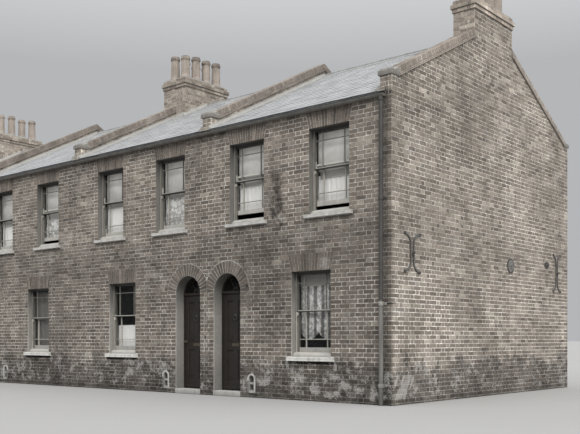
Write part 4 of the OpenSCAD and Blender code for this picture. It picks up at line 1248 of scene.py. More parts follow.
def copings():
    cop, tile = Bag(), Bag()
    # heights normal to the slope
    c0, c1, c2 = RISE * COS, (RISE + CRE) * COS, (RISE + CRE + COP) * COS
    for side in (1, -1):
        for xw in (-H, -P, 0, P, H):
            stop = {0: MID_D, P: MID, -P: MID}.get(xw, END_D)
            s0 = KCAP_D / COS
            s1 = stop / COS
            # brick on edge
            w = HT + 0.008
            n = int((s1 - s0 - 0.055) / 0.0765)
            pitch = (s1 - s0 - 0.055) / n
            for i in range(n):
                a = s0 + 0.055 + i * pitch
                j = RND.uniform(-0.002, 0.002)
                slope_box(cop, xw - w - 0.003 + j, xw + w + 0.003 + j, side, a, a + pitch - 0.0105, c1 + 0.004,
                          c2 + RND.uniform(0.001, 0.0040), 0.004, (RND.uniform(0.2, 0.8), RND.random(), RND.uniform(0.1, 0.9)))
            slope_wedge(cop, xw - w - 0.003, xw + w + 0.003, side, s1 - 0.004, stop - 0.001, c1 + 0.004, c2 + 0.002,
                        (RND.uniform(0.2, 0.8), RND.random(), 0.5))
            # two courses of creasing tiles
            w = HT + 0.030
            for q, (ha, hb, ph) in enumerate(((c0 + 0.004, c0 + 0.021, 0.0), (c0 + 0.028, c1 - 0.002, 0.13))):
                a = s0 + 0.03 - ph
                while a < s1 - 0.05:
                    b = min(a + 0.262, s1 - 0.006)
                    if b - a > 0.06:
                        slope_box(tile, xw - w - 0.003, xw + w + 0.003, side, max(a, s0 + 0.03), b, ha, hb, 0.003, tone())
                    a += 0.270
                slope_wedge(tile, xw - w - 0.003, xw + w + 0.003, side, s1 - 0.004, stop - 0.001, ha, hb, tone())
    ob = cop.object("coping_bricks", MAT["coping"], slot="coping_brick")
    fix_normals(ob)
    ob = tile.object("creasing_tiles", MAT["coping"], slot="gauged_brickwork")
    fix_normals(ob)


# ---------------------------------------------------------------- roof
def slates():
    gauge, wide = 0.2176, 0.254
    top = (MID + OVER) / COS
    for side, nm in ((1, "front"), (-1, "back")):
        bag = Bag()
        for bay in range(-2, 2):
            x0, x1 = bay * P + HT, (bay + 1) * P - HT
            j = 0
            while j * gauge < top - 0.05:
                s = j * gauge - 0.012
                off = (wide / 2 if j % 2 else 0.0) + (bay % 2) * 0.07
                i = -1
                while True:
                    a = x0 + i * wide + off
                    if a > x1:
                        break
                    b = a + wide - 0.004
                    i += 1
                    a, b = max(a, x0 + 0.002), min(b, x1 - 0.002)
                    if b - a < 0.03:
                        continue
                    slip = 0.022 if RND.random() < 0.006 else 0.0
                    t0 = s + RND.uniform(-0.004, 0.004) - slip
                    t1 = s + gauge + 0.030
                    if t1 > top - 0.004:
                        t1 = top - 0.004
                    tilt = RND.uniform(-0.0025, 0.0025)
                    h = 0.0135 + RND.uniform(-0.0012, 0.0018)
                    tn = tone()

                    def at(x, q, hh):
                        y, z = YF - OVER + q * COS - hh * SIN, q * SIN + hh * COS
                        return (x, y if side == 1 else -y, z + EAVES)
                    fall = 0.0062 * (t1 - t0) / gauge
                    c = RND.uniform(0.004, 0.012) if RND.random() < 0.12 else 0.0
                    th = 0.0058
                    lo = [(a + c, t0 + tilt), (b - c * 0.3, t0 - tilt), (b, t0 + c + 0.004), (b, t1), (a, t1), (a, t0 + c + 0.004)]
                    n = len(lo)
                    hh = [h - 0.0062 * (q - t0) / gauge for _, q in lo]
                    v = [at(x, q, k - th) for (x, q), k in zip(lo, hh)] + [at(x, q, k) for (x, q), k in zip(lo, hh)]
                    f = [tuple(range(n, 2 * n))] + [(k, (k + 1) % n, n + (k + 1) % n, n + k) for k in (0, 1, 2, 4, 5)]
                    if side == -1:
                        f = [tuple(reversed(k)) for k in f]
                    bag.add(v, f, tn)
                    # the edge faces take the paler slate copy, as painted light
                    bag.s[-5:] = [1] * 5
                j += 1
        bag.object(nm + "_slates", [MAT["slate"], MAT["slate_edge_lightened"]], slot="slate")


def ridge():
    """Ridge tiles of 450 mm, each with its roll, bedded in mortar."""
    bag = Bag()
    z = rt(MID)
    half = [(0.152, z - 0.152 * M + 0.004), (0.152, z - 0.152 * M + 0.021), (0.060, z - 0.060 * M + 0.026),
            (0.030, z + 0.016), (0.0285, z + 0.030), (0.021, z + 0.044), (0.011, z + 0.0515), (0.0, z + 0.054)]
    inner = [(0.0, z + 0.006), (0.140, z - 0.140 * M + 0.006)]
    prof = [(-y, q) for y, q in half[:-1]] + [half[-1]] + [(y, q) for y, q in reversed(half[:-1])]
    under = [(inner[1][0], inner[1][1]), inner[0], (-inner[1][0], inner[1][1])]
    ring = prof + under
    n = len(ring)
    for s in SIDES:
        for a, b in ((MID_X1 if s == 1 else -MID_X0, P - HT), (P + HT, H + HT - END_W)):
            x = a
            while x < b - 0.02:
                e = min(x + 0.452, b)
                g = 0.004
                dz, dy = RND.uniform(-0.002, 0.002), RND.uniform(-0.003, 0.003)
                p, q = (x + g, e - g) if s == 1 else (-(e - g), -(x + g))
                v = [(p, yy + dy, zz + dz) for yy, zz in ring] + [(q, yy + dy, zz + dz) for yy, zz in ring]
                # profile runs low to high y: outside faces up
                f = [(i, (i + 1) % n, n + (i + 1) % n, n + i) for i in range(n)]
                f = [tuple(reversed(k)) for k in f]
                f += [tuple(range(n)), tuple(range(2 * n - 1, n - 1, -1))]
                bag.add(v, f, tone())
                x = e
    ob = bag.object("ridge_tile_run", MAT["ridge"], slot="ridge_tile")
    fix_normals(ob)
    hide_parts("ridge_tiles")
    bag = Bag()
    for s in SIDES:
        for a, b in ((MID_X1 if s == 1 else -MID_X0, P - HT), (P + HT, H + HT - END_W)):
            p, q = sorted((s * a, s * b))
            pts = [(-0.157, z - 0.157 * M + 0.002), (-0.150, z - 0.150 * M + 0.016), (0, z + 0.004),
                   (0.150, z - 0.150 * M + 0.016), (0.157, z - 0.157 * M + 0.002)]
            v = [(p, yy, zz) for yy, zz in pts] + [(q, yy, zz) for yy, zz in pts]
            bag.add(v, [(i + 1, i, 5 + i, 6 + i) for i in range(4)] + [(0, 1, 2, 3, 4), (9, 8, 7, 6, 5)])
    ob = bag.object("ridge_bedding", MAT["fillet"], slot="gauged_brickwork")
    fix_normals(ob)


def fix_normals(ob):
    bm = bmesh.new()
    bm.from_mesh(ob.data)
    bmesh.ops.recalc_face_normals(bm, faces=bm.faces)
    bm.to_mesh(ob.data)
    bm.free()


def fillets():
    """Lime mortar fillets where slates meet parapets and stacks."""
    bag, haunch = Bag(), Bag()

    def strip(x, sx, side, d0, d1, wide=0.075, high=0.075):
        n = max(2, int((d1 - d0) / 0.11))
        rows = []
        for i in range(n + 1):
            d = d0 + (d1 - d0) * i / n
            w, h = wide * RND.uniform(0.82, 1.15), high * RND.uniform(0.85, 1.12)
            pts = [(0.0, 0.0), (0.0, h), (w * 0.42, 0.014 + h * 0.36), (w, 0.013), (w + 0.004, 0.0)]
            row = []
            for a, hh in pts:
                y, z = YF + d - hh * SIN * COS * 0.0, rt(d) + hh / COS
                row.append((x + sx * a, y if side == 1 else -y, z))
            rows.append(row)
        v = [p for r in rows for p in r]
        f = [(i * 5 + j, i * 5 + j + 1, (i + 1) * 5 + j + 1, (i + 1) * 5 + j) for i in range(n) for j in range(4)]
        f += [(0, 1, 2, 3, 4), tuple(range(n * 5 + 4, n * 5 - 1, -1))]
        if sx * side > 0:
            f = [tuple(reversed(k)) for k in f]
        bag.add(v, f)

    for side in (1, -1):
        for xw in (-H, -P, 0, P, H):
            stop = {0: MID_D, P: MID, -P: MID}.get(xw, END_D)
            for sx in SIDES:
                if xw == H and sx == 1 or xw == -H and sx == -1:
                    continue
                strip(xw + sx * HT, sx, side, -0.064, stop)
        strip(MID_X1, 1, side, MID_D - 0.07, MID, 0.06, 0.08)
        strip(MID_X0, -1, side, MID_D - 0.07, MID, 0.06, 0.08)
        strip(H + HT - END_W, -1, side, END_D - 0.07, MID, 0.06, 0.08)
        strip(-H - HT + END_W, 1, side, END_D - 0.07, MID, 0.06, 0.08)
    # slates and fillet carried across in front of the kneelers
    for side in (1, -1):
        for xw in (-H, -P, 0, P, H):
            x0, x1 = xw - HT - 0.004, xw + HT + 0.004
            if xw == H:
                x1 = H + 0.012
            if xw == -H:
                x0 = -H - 0.012
            v = []
            n = 5
            for i in range(n + 1):
                x = x0 + (x1 - x0) * i / n
                for d, zz in ((-OVER - 0.010, rt(-OVER) - 0.008), (-OVER - 0.010, rt(-OVER) + 0.007), (-0.024, rt(-OVER) + 0.010),
                              (-0.010, rt(-OVER) + 0.013 + RND.uniform(-0.002, 0.003)), (0.0, rt(-OVER) + 0.018 + RND.uniform(-0.004, 0.005))):
                    y = YF + d
                    v.append((x, y if side == 1 else -y, zz))
            m = 5
            f = [(i * m + j, (i + 1) * m + j, (i + 1) * m + j + 1, i * m + j + 1) for i in range(n) for j in range(m - 1)]
            f += [tuple(range(m - 1, -1, -1)), tuple(n * m + j for j in range(m))]
            bag.add(v, f if side == 1 else [tuple(reversed(k)) for k in f])
            # the haunch that runs up from a kneeler's cap to the first coping brick
            pts = [(0.118, 5.576), (0.150, 5.604), (0.1775, 5.624), (0.215, 5.600), (0.215, 5.576)]
            v = [(x, YF + d if side == 1 else -YF - d, zz) for x in (xw - HT - 0.009, xw + HT + 0.009) for d, zz in pts]
            m = len(pts)
            f = [(i, (i + 1) % m, m + (i + 1) % m, m + i) for i in range(m)] + [tuple(range(m - 1, -1, -1)), tuple(range(m, 2 * m))]
            haunch.add(v, f)
    ob = haunch.object("coping_haunches", MAT["fillet"], slot="gauged_brickwork")
    fix_normals(ob)
    # across the front and back of each stack
    for x0, x1, d in ((HT, MID_X1, MID_D), (MID_X0, -HT, MID_D),
                      (H + HT - END_W, H - HT, END_D), (-H + HT, -H - HT + END_W, END_D)):
        for side in (1, -1):
            n = 4
            v = []
            for i in range(n + 1):
                x = x0 - 0.05 * 0 + (x1 - x0) * i / n
                for dd, h in ((0.0, 0.10), (0.045, 0.045), (0.085, 0.014), (0.090, 0.0)):
                    dd2 = dd * RND.uniform(0.9, 1.1)
                    y, z = YF + d - dd2, rt(d - dd2) + h
                    v.append((x, y if side == 1 else -y, z))
            f = [(i * 4 + j, (i + 1) * 4 + j, (i + 1) * 4 + j + 1, i * 4 + j + 1) for i in range(n) for j in range(3)]
            bag.add(v, f if side == -1 else [tuple(reversed(k)) for k in f])
    ob = bag.object("roof_fillets", MAT["fillet"], slot="gauged_brickwork")
    return ob


# ---------------------------------------------------------------- softened copies of CAD pieces
def clean_bm(node):
    bm = bmesh.new()
    bm.from_mesh(NODES[node].data)
    bmesh.ops.remove_doubles(bm, verts=bm.verts, dist=1e-5)
    bmesh.ops.dissolve_limit(bm, angle_limit=math.radians(0.6), verts=bm.verts, edges=bm.edges)
    return bm


def softened(node, name, mat, width=0.004, segments=2, body=ROOT, wobble=0.0, angle=25):
    """A copy of a CAD piece with worn arrises, which stands for it."""
    bm = clean_bm(node)
    sharp = [e for e in bm.edges if len(e.link_faces) == 2 and e.calc_face_angle(0) > math.radians(angle)]
    bmesh.ops.bevel(bm, geom=sharp, offset=width, segments=segments, profile=0.6, affect="EDGES", clamp_overlap=True)
    bmesh.ops.triangulate(bm, faces=[f for f in bm.faces if len(f.verts) > 4])
    me = bpy.data.meshes.new(name)
    bm.to_mesh(me)
    bm.free()
    me.materials.clear()
    me.materials.append(mat)
    a = me.color_attributes.new("tone", "FLOAT_COLOR", "CORNER")
    a.data.foreach_set("color", np.tile(np.array([0.5, 0.5, 0.5, 1], np.float32), len(me.loops)))
    ob = bpy.data.objects.new(name, me)
    bpy.context.scene.collection.objects.link(ob)
    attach(ob, body)
    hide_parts(node)
    return ob


def auto_smooth(ob, angle=32):
    """Smooth shading with sharp edges kept past an angle."""
    me = ob.data
    me.polygons.foreach_set("use_smooth", [True] * len(me.polygons))
    bm = bmesh.new()
    bm.from_mesh(me)
    lim = math.radians(angle)
    for e in bm.edges:
        e.smooth = not (len(e.link_faces) == 2 and e.calc_face_angle(0) > lim)
    bm.to_mesh(me)
    bm.free()


def cad(node, mat):
    o = NODES[node]
    o.data.materials.clear()
    o.data.materials.append(MAT[mat])
    for p in o.data.polygons:
        p.material_index = 0


def dress_frame():
    for n in ("front_wall_ground_piers", "front_wall_ground_panels", "front_door_arches", "front_wall_upper_piers",
              "front_wall_upper_panels", "back_wall_piers", "back_wall_panels", "gable_wall", "left_end_wall",
              "party_walls", "kneelers", "chimney_stacks"):
        cad(n, "masonry")
    # the bedding under copings and caps in the dark mortar, as painted shade
    for n in ("parapet_creasing", "parapet_copings", "chimney_caps"):
        cad(n, "bed")
    for n in ("front_roof_slopes", "back_roof_slopes"):
        cad(n, "under")
    cad("ridge_tiles", "ridge")
    cad("ground_floors", "wood")
    cad("first_floors", "wood")
    cad("window_glass", "glass")
    cad("fanlight_glass", "glass")
    cad("window_curtains", "blind")
    cad("door_stops", "frame")
    cad("window_sills", "stone")
    for n in ("front_door_1", "front_door_2", "front_door_3", "front_door_4"):
        cad(n, "door")
    cad("back_doors", "boards")
    auto_smooth(softened("kneeler_caps", "kneeler_cap_stones", MAT["cap"], 0.007, 2))
    softened("doorsteps", "door_steps", MAT["step"], 0.010, 3)
    softened("scraper_surrounds", "scraper_arches", MAT["surround"], 0.004, 2)
    softened("boot_scrapers", "scraper_bars", MAT["scraper"], 0.003, 2)
    softened("window_frames", "box_frames", MAT["lining"], 0.003, 2)
    softened("upper_sashes", "upper_sash_frames", MAT["sash"], 0.003, 2)
    softened("lower_sashes", "lower_sash_frames", MAT["sash"], 0.003, 2)
    softened("door_jambs", "door_jamb_posts", MAT["frame"], 0.003, 2)
    auto_smooth(softened("door_heads", "door_head_frames", MAT["frame"], 0.003, 2))
    auto_smooth(softened("chimney_pots", "clay_pots", MAT["pot"], 0.005, 2, angle=40), 40)
    auto_smooth(softened("gutters", "half_round_gutters", MAT["gutter"], 0.0012, 1, angle=50), 40)
    auto_smooth(softened("downpipes", "down_pipes", MAT["pipe"], 0.003, 1, angle=50), 40)
    auto_smooth(softened("downpipe_collars", "pipe_collars", MAT["pipe"], 0.005, 2, angle=50), 40)
    auto_smooth(softened("wall_ties", "iron_ties", MAT["tie"], 0.003, 1, angle=40), 40)


# ---------------------------------------------------------------- windows
def local(side, x, d, z):
    return (x, YF + d, z) if side == 1 else (x, -YF - d, z)


def beam(bag, side, x0, x1, d0, d1, z0, z1, bev=0.003, tn=(0.5, 0.5, 0.5), slot=0, front_only=False):
    """A bar with its outer arrises taken off."""
    def at(x, d, z):
        return local(side, x, d, z)
    b = bev
    v = [at(x0, d1, z0), at(x1, d1, z0), at(x1, d1, z1), at(x0, d1, z1),
         at(x0, d0 + b, z0), at(x1, d0 + b, z0), at(x1, d0 + b, z1), at(x0, d0 + b, z1),
         at(x0 + b, d0, z0 + b), at(x1 - b, d0, z0 + b), at(x1 - b, d0, z1 - b), at(x0 + b, d0, z1 - b)]
    f = [(3, 2, 1, 0)]
    for i in range(4):
        j = (i + 1) % 4
        f += [(i, j, 4 + j, 4 + i), (4 + i, 4 + j, 8 + j, 8 + i)]
    f.append((8, 9, 10, 11))
    if side == -1:
        f = [tuple(reversed(k)) for k in f]
    bag.add(v, f, tn, slot)


def window_joinery():
    bars, sills, stones = Bag(), Bag(), Bag()
    for w in WINDOWS:
        name, side, x, width, sill, head, lift = w
        hw = width / 2
        gw = hw - FR_W - SASH_W
        mt = meet(w)
        u0, u1 = mt + RAIL / 2, fz1(w) - TOP
        l0, l1 = fz0(w) + LOW + lift, mt - RAIL / 2 + lift
        bt = 0.0078
        for (za, zb, dd, zbar) in ((u0, u1, UP_D, u1 - 0.150), (l0, l1, LO_D, l0 + 0.147)):
            for bx in (-0.242, 0.242):
                beam(bars, side, x + bx - bt, x + bx + bt, dd + 0.004, dd + 0.034, za - 0.004, zb + 0.004, 0.006)
            beam(bars, side, x - gw - 0.004, x + gw + 0.004, dd + 0.004, dd + 0.034, zbar - bt, zbar + bt, 0.006)
        # horns of the upper sash below the meeting rail
        for e in SIDES:
            a = x + e * (gw + SASH_W)
            b = x + e * gw
            lo, hi = min(a, b), max(a, b)
            zt = mt - RAIL / 2
            pts = [(0, 0), (0.038, 0), (0.038, -0.020), (0.030, -0.045), (0.014, -0.062), (0.0, -0.068)]
            v = []
            for xx in (lo, hi):
                for dd, dz in pts:
                    v.append(local(side, xx, UP_D + dd, zt + dz))
            n = len(pts)
            f = [(i, (i + 1) % n, n + (i + 1) % n, n + i) for i in range(n)] + [tuple(range(n - 1, -1, -1)), tuple(range(n, 2 * n))]
            bars.add(v, f if side == 1 else [tuple(reversed(k)) for k in f])
        # parting beads and the outer lining's staff bead
        for e in SIDES:
            a = x + e * (hw - FR_W)
            lo, hi = min(a, a - e * 0.008), max(a, a - e * 0.008)
            beam(bars, side, lo, hi, LO_D - 0.004, LO_D + 0.002, fz0(w), fz1(w), 0.001)
            lo, hi = min(a, a - e * 0.014), max(a, a - e * 0.014)
            beam(bars, side, lo, hi, REVEAL - 0.002, REVEAL + 0.010, fz0(w), fz1(w), 0.003)
        # timber sill: sloped, standing out onto the stone
        v = []
        prof = [(REVEAL - 0.058, sill + 0.001), (REVEAL - 0.058, sill + 0.034), (REVEAL - 0.050, sill + 0.040),
                (REVEAL + 0.004, sill + T_SILL + 0.001), (REVEAL + 0.006, sill + 0.002)]
        n = len(prof)
        for xx in (x - hw + 0.003, x + hw - 0.003):
            for dd, zz in prof:
                v.append(local(side, xx, dd, zz))
        f = [(i, (i + 1) % n, n + (i + 1) % n, n + i) for i in range(n)] + [tuple(range(n - 1, -1, -1)), tuple(range(n, 2 * n))]
        sills.add(v, f if side == 1 else [tuple(reversed(k)) for k in f])
        # stone sill with a weathered top, a drip groove below and stooled ends
        t = GR_SILL if sill < 2 else UP_SILL
        e = hw + STOP
        prof = [(T - 0.006, sill), (REVEAL - 0.02, sill), (-0.062, sill - 0.012), (-0.069, sill - 0.020), (-0.070, sill - t + 0.008),
                (-0.064, sill - t), (-0.050, sill - t), (-0.046, sill - t + 0.010), (-0.034, sill - t + 0.010), (-0.030, sill - t),
                (0.002, sill - t)]
        cols = [(x - e, 0), (x - e + 0.006, 1), (x - hw + 0.0005, 1), (x - hw + 0.0006, 2)]
        cols += [(x - hw + width * k / 12, 2) for k in range(1, 12)]
        cols += [(x + hw - 0.0006, 2), (x + hw - 0.0005, 1), (x + e - 0.006, 1), (x + e, 0)]
        rows = []
        for xx, kind in cols:
            row = []
            for dd, zz in prof:
                if kind < 2:
                    dd = min(dd, 0.004)
                    zz = max(zz, sill - 0.004) if zz > sill - 0.03 else zz
                if kind == 0:
                    dd = dd + 0.004 if dd < -0.03 else dd
                    zz = zz - 0.005 if zz > sill - 0.03 else zz + 0.003 * (dd < -0.01)
                j = 0.0012 if kind else 0
                row.append(local(side, xx, dd + RND.uniform(-j, j), zz + RND.uniform(-j, j) * 0.6))
            rows.append(row)
        n, m = len(prof), len(rows)
        v = [p for r in rows for p in r]
        f = [(i * n + k, (i + 1) * n + k, (i + 1) * n + k + 1, i * n + k + 1) for i in range(m - 1) for k in range(n - 1)]
        f += [tuple(range(n)), tuple(range(m * n - 1, (m - 1) * n - 1, -1))]
        stones.add(v, f if side == -1 else [tuple(reversed(k)) for k in f], (RND.random(), 0.5, 0.5))
    ob = bars.object("glazing_bars", MAT["bar"], slot="sash_paint")
    ob = sills.object("timber_sills", MAT["sill_paint"], slot="sash_paint")
    fix_normals(ob)
    ob = stones.object("stone_sills", MAT["stone"], slot="stone")
    fix_normals(ob)
    auto_smooth(ob, 30)
    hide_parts("window_sills")


# ---------------------------------------------------------------- cloth at the windows
def sheet_mesh(name, mat, side, cols, rows, fn, smooth=True):
    """fn(i/cols, j/rows) gives (x, d, z)."""
    v = [local(side, *fn(i / cols, j / rows)) for j in range(rows + 1) for i in range(cols + 1)]
    n = cols + 1
    f = [(j * n + i, j * n + i + 1, (j + 1) * n + i + 1, (j + 1) * n + i) for j in range(rows) for i in range(cols)]
    if side == -1:
        f = [tuple(reversed(k)) for k in f]
    me = bpy.data.meshes.new(name)
    me.from_pydata(v, [], f)
    me.materials.append(mat)
    me.polygons.foreach_set("use_smooth", [True] * len(f))
    me.update()
    ob = bpy.data.objects.new(name, me)
    bpy.context.scene.collection.objects.link(ob)
    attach(ob, ROOT)
    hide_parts("window_curtains")
    return ob


def fold(k, t, r, amp, phase, lean=0.0):
    """Depth of a gathered curtain across its width."""
    return amp * (math.sin(2 * math.pi * (k * t + phase)) * 0.62 + 0.38 * math.sin(2 * math.pi * (k * 1.73 * t + phase * 2.1 + 0.4 * math.sin(3 * r))))


def blind(w, bottom, mat="blind", sag=0.0, gap_left=0.0):
    name, side, x, width, sill, head, lift = w
    hw = width / 2 - 0.030
    z1 = head - 0.042
    notch = 0.045 if mat == "blind_shaded_below_rail" else 0.0
    rr = random.Random(name)
    ph = rr.random()

    def fn(a, b):
        z = z1 + (bottom - z1) * b
        d = 0.2305 + 0.0016 * math.sin(6 * a + ph * 6) * b
        g = gap_left + (notch if z < 4.107 else 0.0)
        return (x - hw + g + (2 * hw - g) * a, d, z + 0.003 * (a - 0.5) * b)
    sheet_mesh("blind_" + name, MAT[mat], side, 10, 24, fn)
    # lath in the hem
    bag = Bag()
    beam(bag, side, x - hw + gap_left + notch - 0.002, x + hw + 0.002, 0.2265, 0.2295, bottom - 0.010, bottom + 0.004, 0.0012)
    bag.object("blind_lath_" + name, MAT["sill_paint"], slot="sash_paint")
    bag = Bag()
    # the roller, near black as painted shade under the head
    rod(bag, side, x - hw - 0.004, x + hw + 0.004, 0.241, head - 0.042, 0.012, 16)
    bag.object("blind_roller_" + name, MAT["roller"], slot="sash_paint")


def net(w, top, bottom, mat="net", folds=9, amp=0.011, left=0.0, right=0.0, full=1.25, edge=None):
    name, side, x, width, sill, head, lift = w
    hw = width / 2 - 0.022
    a0, a1 = x - hw + left, x + hw - right
    rr = random.Random(name + mat)
    ph, lean = rr.random(), rr.uniform(-0.3, 0.3)
    n = 90

    def fn(a, b):
        z = top + (bottom - top) * b
        k = folds
        d = 0.2465 + fold(k, a, b, amp * (0.75 + 0.25 * b), ph + lean * b * 0.12)
        xx = a0 + (a1 - a0) * a
        if edge:
            xx = edge(xx, a, b)
        z += 0.004 * math.sin(2 * math.pi * (k * a + ph)) * (b > 0.97)
        return (xx, d, z)
    # flat width from the folded length
    pts = [fn(i / n, 0.5) for i in range(n + 1)]
    sheet_mesh("curtain_" + name + "_" + mat, MAT[mat], side, n, 26, fn)
    # the rod it hangs from
    bag = Bag()
    rod(bag, side, a0 - 0.01, a1 + 0.01, 0.2465, top - 0.004, 0.0045)
    bag.object("curtain_rod_" + name + "_" + mat, MAT["brass"], smooth=True, slot="painted_iron")


def rod(bag, side, x0, x1, d, z, r, n=10):
    v = []
    for x in (x0, x1):
        for i in range(n):
            a = 2 * math.pi * i / n
            v.append(local(side, x, d + r * math.cos(a), z + r * math.sin(a)))
    f = [(i, (i + 1) % n, n + (i + 1) % n, n + i) for i in range(n)] + [tuple(range(n - 1, -1, -1)), tuple(range(n, 2 * n))]
    bag.add(v, [tuple(reversed(k)) for k in f] if side == 1 else f)


def swag(w, top, low_mid, low_side, mat="lace"):
    """A lace valance looped up: straight at the rod, its lower edge in arcs."""
    name, side, x, width, sill, head, lift = w
    hw = width / 2 - 0.024
    rr = random.Random(name + "swag")
    ph = rr.random()
    n = 72

    def edge_z(a):
        arc = abs(math.sin(math.pi * (a * 2 + 0.02)))
        return low_side + (low_mid - low_side) * arc ** 0.8

    def fn(a, b):
        z = top + (edge_z(a) - top) * b
        d = 0.2440 + 0.0095 * math.sin(2 * math.pi * (7 * a + ph + 0.5 * b * math.cos(2 * math.pi * a * 2))) \
            + 0.004 * math.sin(2 * math.pi * (b * 3.5 + a * 4))
        return (x - hw + 2 * hw * a, d, z)
    rows = 26
    grid = [[local(side, *fn(i / n, j / rows)) for i in range(n + 1)] for j in range(rows + 1)]
    sheet_mesh("curtain_" + name + "_" + mat + "_swag", MAT[mat], side, n, rows, fn)


def cloths():
    for w in WINDOWS:
        name, side, x, width, sill, head, lift = w
        if name.endswith("ground") and side == 1:
            if name == "a_ground":
                blind(w, 2.068, "blind_pelmet")
                net(w, 2.085, 1.560, "lace_striped", folds=4.4, amp=0.0125)
                swag(w, 1.600, 1.085, 1.235, "lace_striped")
            elif name == "b_ground":
                net(w, 1.416, 0.850, "net", folds=6, amp=0.005)
            elif name == "c_ground":
                net(w, 2.240, 1.560, "drab", folds=3.3, amp=0.0125)
                net(w, 1.575, 0.850, "blind_grey", folds=7, amp=0.006)
            else:
                blind(w, 1.75, "blind")
                net(w, 1.50, 0.850, "net", folds=8, amp=0.010)
        elif side == 1:
            def edge(xx, a, b, w=w):
                return xx + max(0, 0.10 - a) * 0.08 * math.sin(5 * b)
            drop = {"a_outer": 3.975, "a_inner": 4.04, "b_outer": 4.035, "b_inner": 4.045, "c_outer": 4.02, "c_inner": 3.99}.get(name, 3.97)
            low = {"a_outer": 3.506, "a_inner": 3.536, "c_outer": 3.506}.get(name, sill + 0.10)
            blind(w, drop, "blind_shaded_below_rail" if name[0] == "a" else "blind", gap_left=0.006)
            net(w, drop + 0.05, low, "net" if name not in ("b_inner", "c_outer") else "lace", folds=8, amp=0.010, left=0.004, edge=edge)
        else:
            if "inner" in name:
                blind(w, 4.10, "blind")
                net(w, 4.15, sill + 0.02, "net", folds=8, amp=0.010)
            elif "outer" in name:
                net(w, head - 0.08, sill + 0.02, "net", folds=9, amp=0.011)
            else:
                net(w, 1.60, sill + 0.02, "net", folds=8, amp=0.010)


# ---------------------------------------------------------------- doors
def front_doors():
    for n, (xc, s) in enumerate(((P, 1), (P, -1), (-P, 1), (-P, -1)), 1):
        bag = Bag()
        a, b = xc + s * (DOOR_IN + 0.005), xc + s * (DOOR_OUT - 0.007)
        x0, x1 = min(a, b), max(a, b)
        d0, d1 = T + 0.020, T + 0.064
        z0, z1 = 0.101, 1.979
        st, mu = 0.105, 0.092
        rails = [(z0, z0 + 0.205), (z0 + 0.800, z0 + 0.945), (z1 - 0.115, z1)]
        xm = (x0 + x1) / 2
        beam(bag, 1, x0, x0 + st, d0, d1, z0, z1, 0.003)
        beam(bag, 1, x1 - st, x1, d0, d1, z0, z1, 0.003)
        for za, zb in rails:
            beam(bag, 1, x0 + st - 0.001, x1 - st + 0.001, d0, d1, za, zb, 0.002)
        for (za, zb) in ((rails[0][1], rails[1][0]), (rails[1][1], rails[2][0])):
            beam(bag, 1, xm - mu / 2, xm + mu / 2, d0, d1, za - 0.001, zb + 0.001, 0.002)
            for (p, q) in ((x0 + st, xm - mu / 2), (xm + mu / 2, x1 - st)):
                # panel set back, with a bolection moulding round it and a raised field
                beam(bag, 1, p - 0.001, q + 0.001, d0 + 0.014, d1 - 0.010, za - 0.001, zb + 0.001, 0.0005)
                mw = 0.020
                for (ma, mb, mc, md) in ((p, q, za, za + mw), (p, q, zb - mw, zb), (p, p + mw, za + mw, zb - mw), (q - mw, q, za + mw, zb - mw)):
                    beam(bag, 1, ma, mb, d0 - 0.004, d0 + 0.015, mc, md, 0.007)
                beam(bag, 1, p + 0.048, q - 0.048, d0 + 0.006, d0 + 0.015, za + 0.048, zb - 0.048, 0.006)
                beam(bag, -1, p + 0.02, q - 0.02, DEPTH - d1 + 0.004, DEPTH - d1 + 0.011, za + 0.02, zb - 0.02, 0.005)
        # hinge barrels and plates, knob, letter plate, knocker, weather board
        hx = xc + s * (DOOR_IN + 0.0025)
        for z in (z0 + 0.150, z0 + 0.900, z1 - 0.250):
            cyl(bag, (hx, YF + T + 0.070, z), (hx, YF + T + 0.070, z + 0.100), 0.0055, 16, slot=2)
            lo, hi = sorted((hx, a + s * 0.028))
            beam(bag, -1, lo, hi, DEPTH - (T + 0.067), DEPTH - (T + 0.064), z, z + 0.100, 0.0005, slot=2)
        kx = b - s * 0.060
        lathe(bag, (kx, YF + d0, 1.045), (0, -1, 0), [(0.0, 0.028), (0.004, 0.028), (0.006, 0.012), (0.022, 0.011), (0.030, 0.022), (0.042, 0.0275), (0.054, 0.023), (0.060, 0.010), (0.061, 0.0)], 24, 1)
        lathe(bag, (kx, YF + d1, 1.045), (0, 1, 0), [(0.0, 0.026), (0.004, 0.026), (0.006, 0.011), (0.022, 0.010), (0.030, 0.021), (0.044, 0.026), (0.052, 0.012), (0.053, 0.0)], 24, 1)
        beam(bag, 1, xm - 0.095, xm + 0.095, d0 - 0.006, d0 + 0.001, 0.955, 1.015, 0.003, slot=1)
        beam(bag, 1, xm - 0.075, xm + 0.075, d0 - 0.009, d0 - 0.002, 0.967, 1.003, 0.003, slot=1)
        # ring knocker on a boss
        lathe(bag, (xm, YF + d0, 1.560), (0, -1, 0), [(0.0, 0.030), (0.006, 0.030), (0.012, 0.020), (0.024, 0.014), (0.030, 0.0)], 20, 2)
        torus(bag, (xm, YF + d0 - 0.016, 1.515), 0.045, 0.0065, 28, 10, 2)
        lathe(bag, (xm, YF + d0, 1.470), (0, -1, 0), [(0.0, 0.014), (0.008, 0.014), (0.013, 0.0)], 16, 2)
        beam(bag, 1, x0 + 0.004, x1 - 0.004, d0 - 0.014, d0 + 0.001, z0 + 0.012, z0 + 0.062, 0.010)
        ob = bag.object("front_door_leaf_%d" % n, [MAT["door"], MAT["brass"], MAT["iron"]], body="door_%d" % n, slot="door_paint")
        fix_normals(ob)
        auto_smooth(ob, 35)
        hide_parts("front_door_%d" % n)


def basis(axis):
    w = Vector(axis).normalized()
    u = w.orthogonal().normalized()
    return u, w.cross(u), w


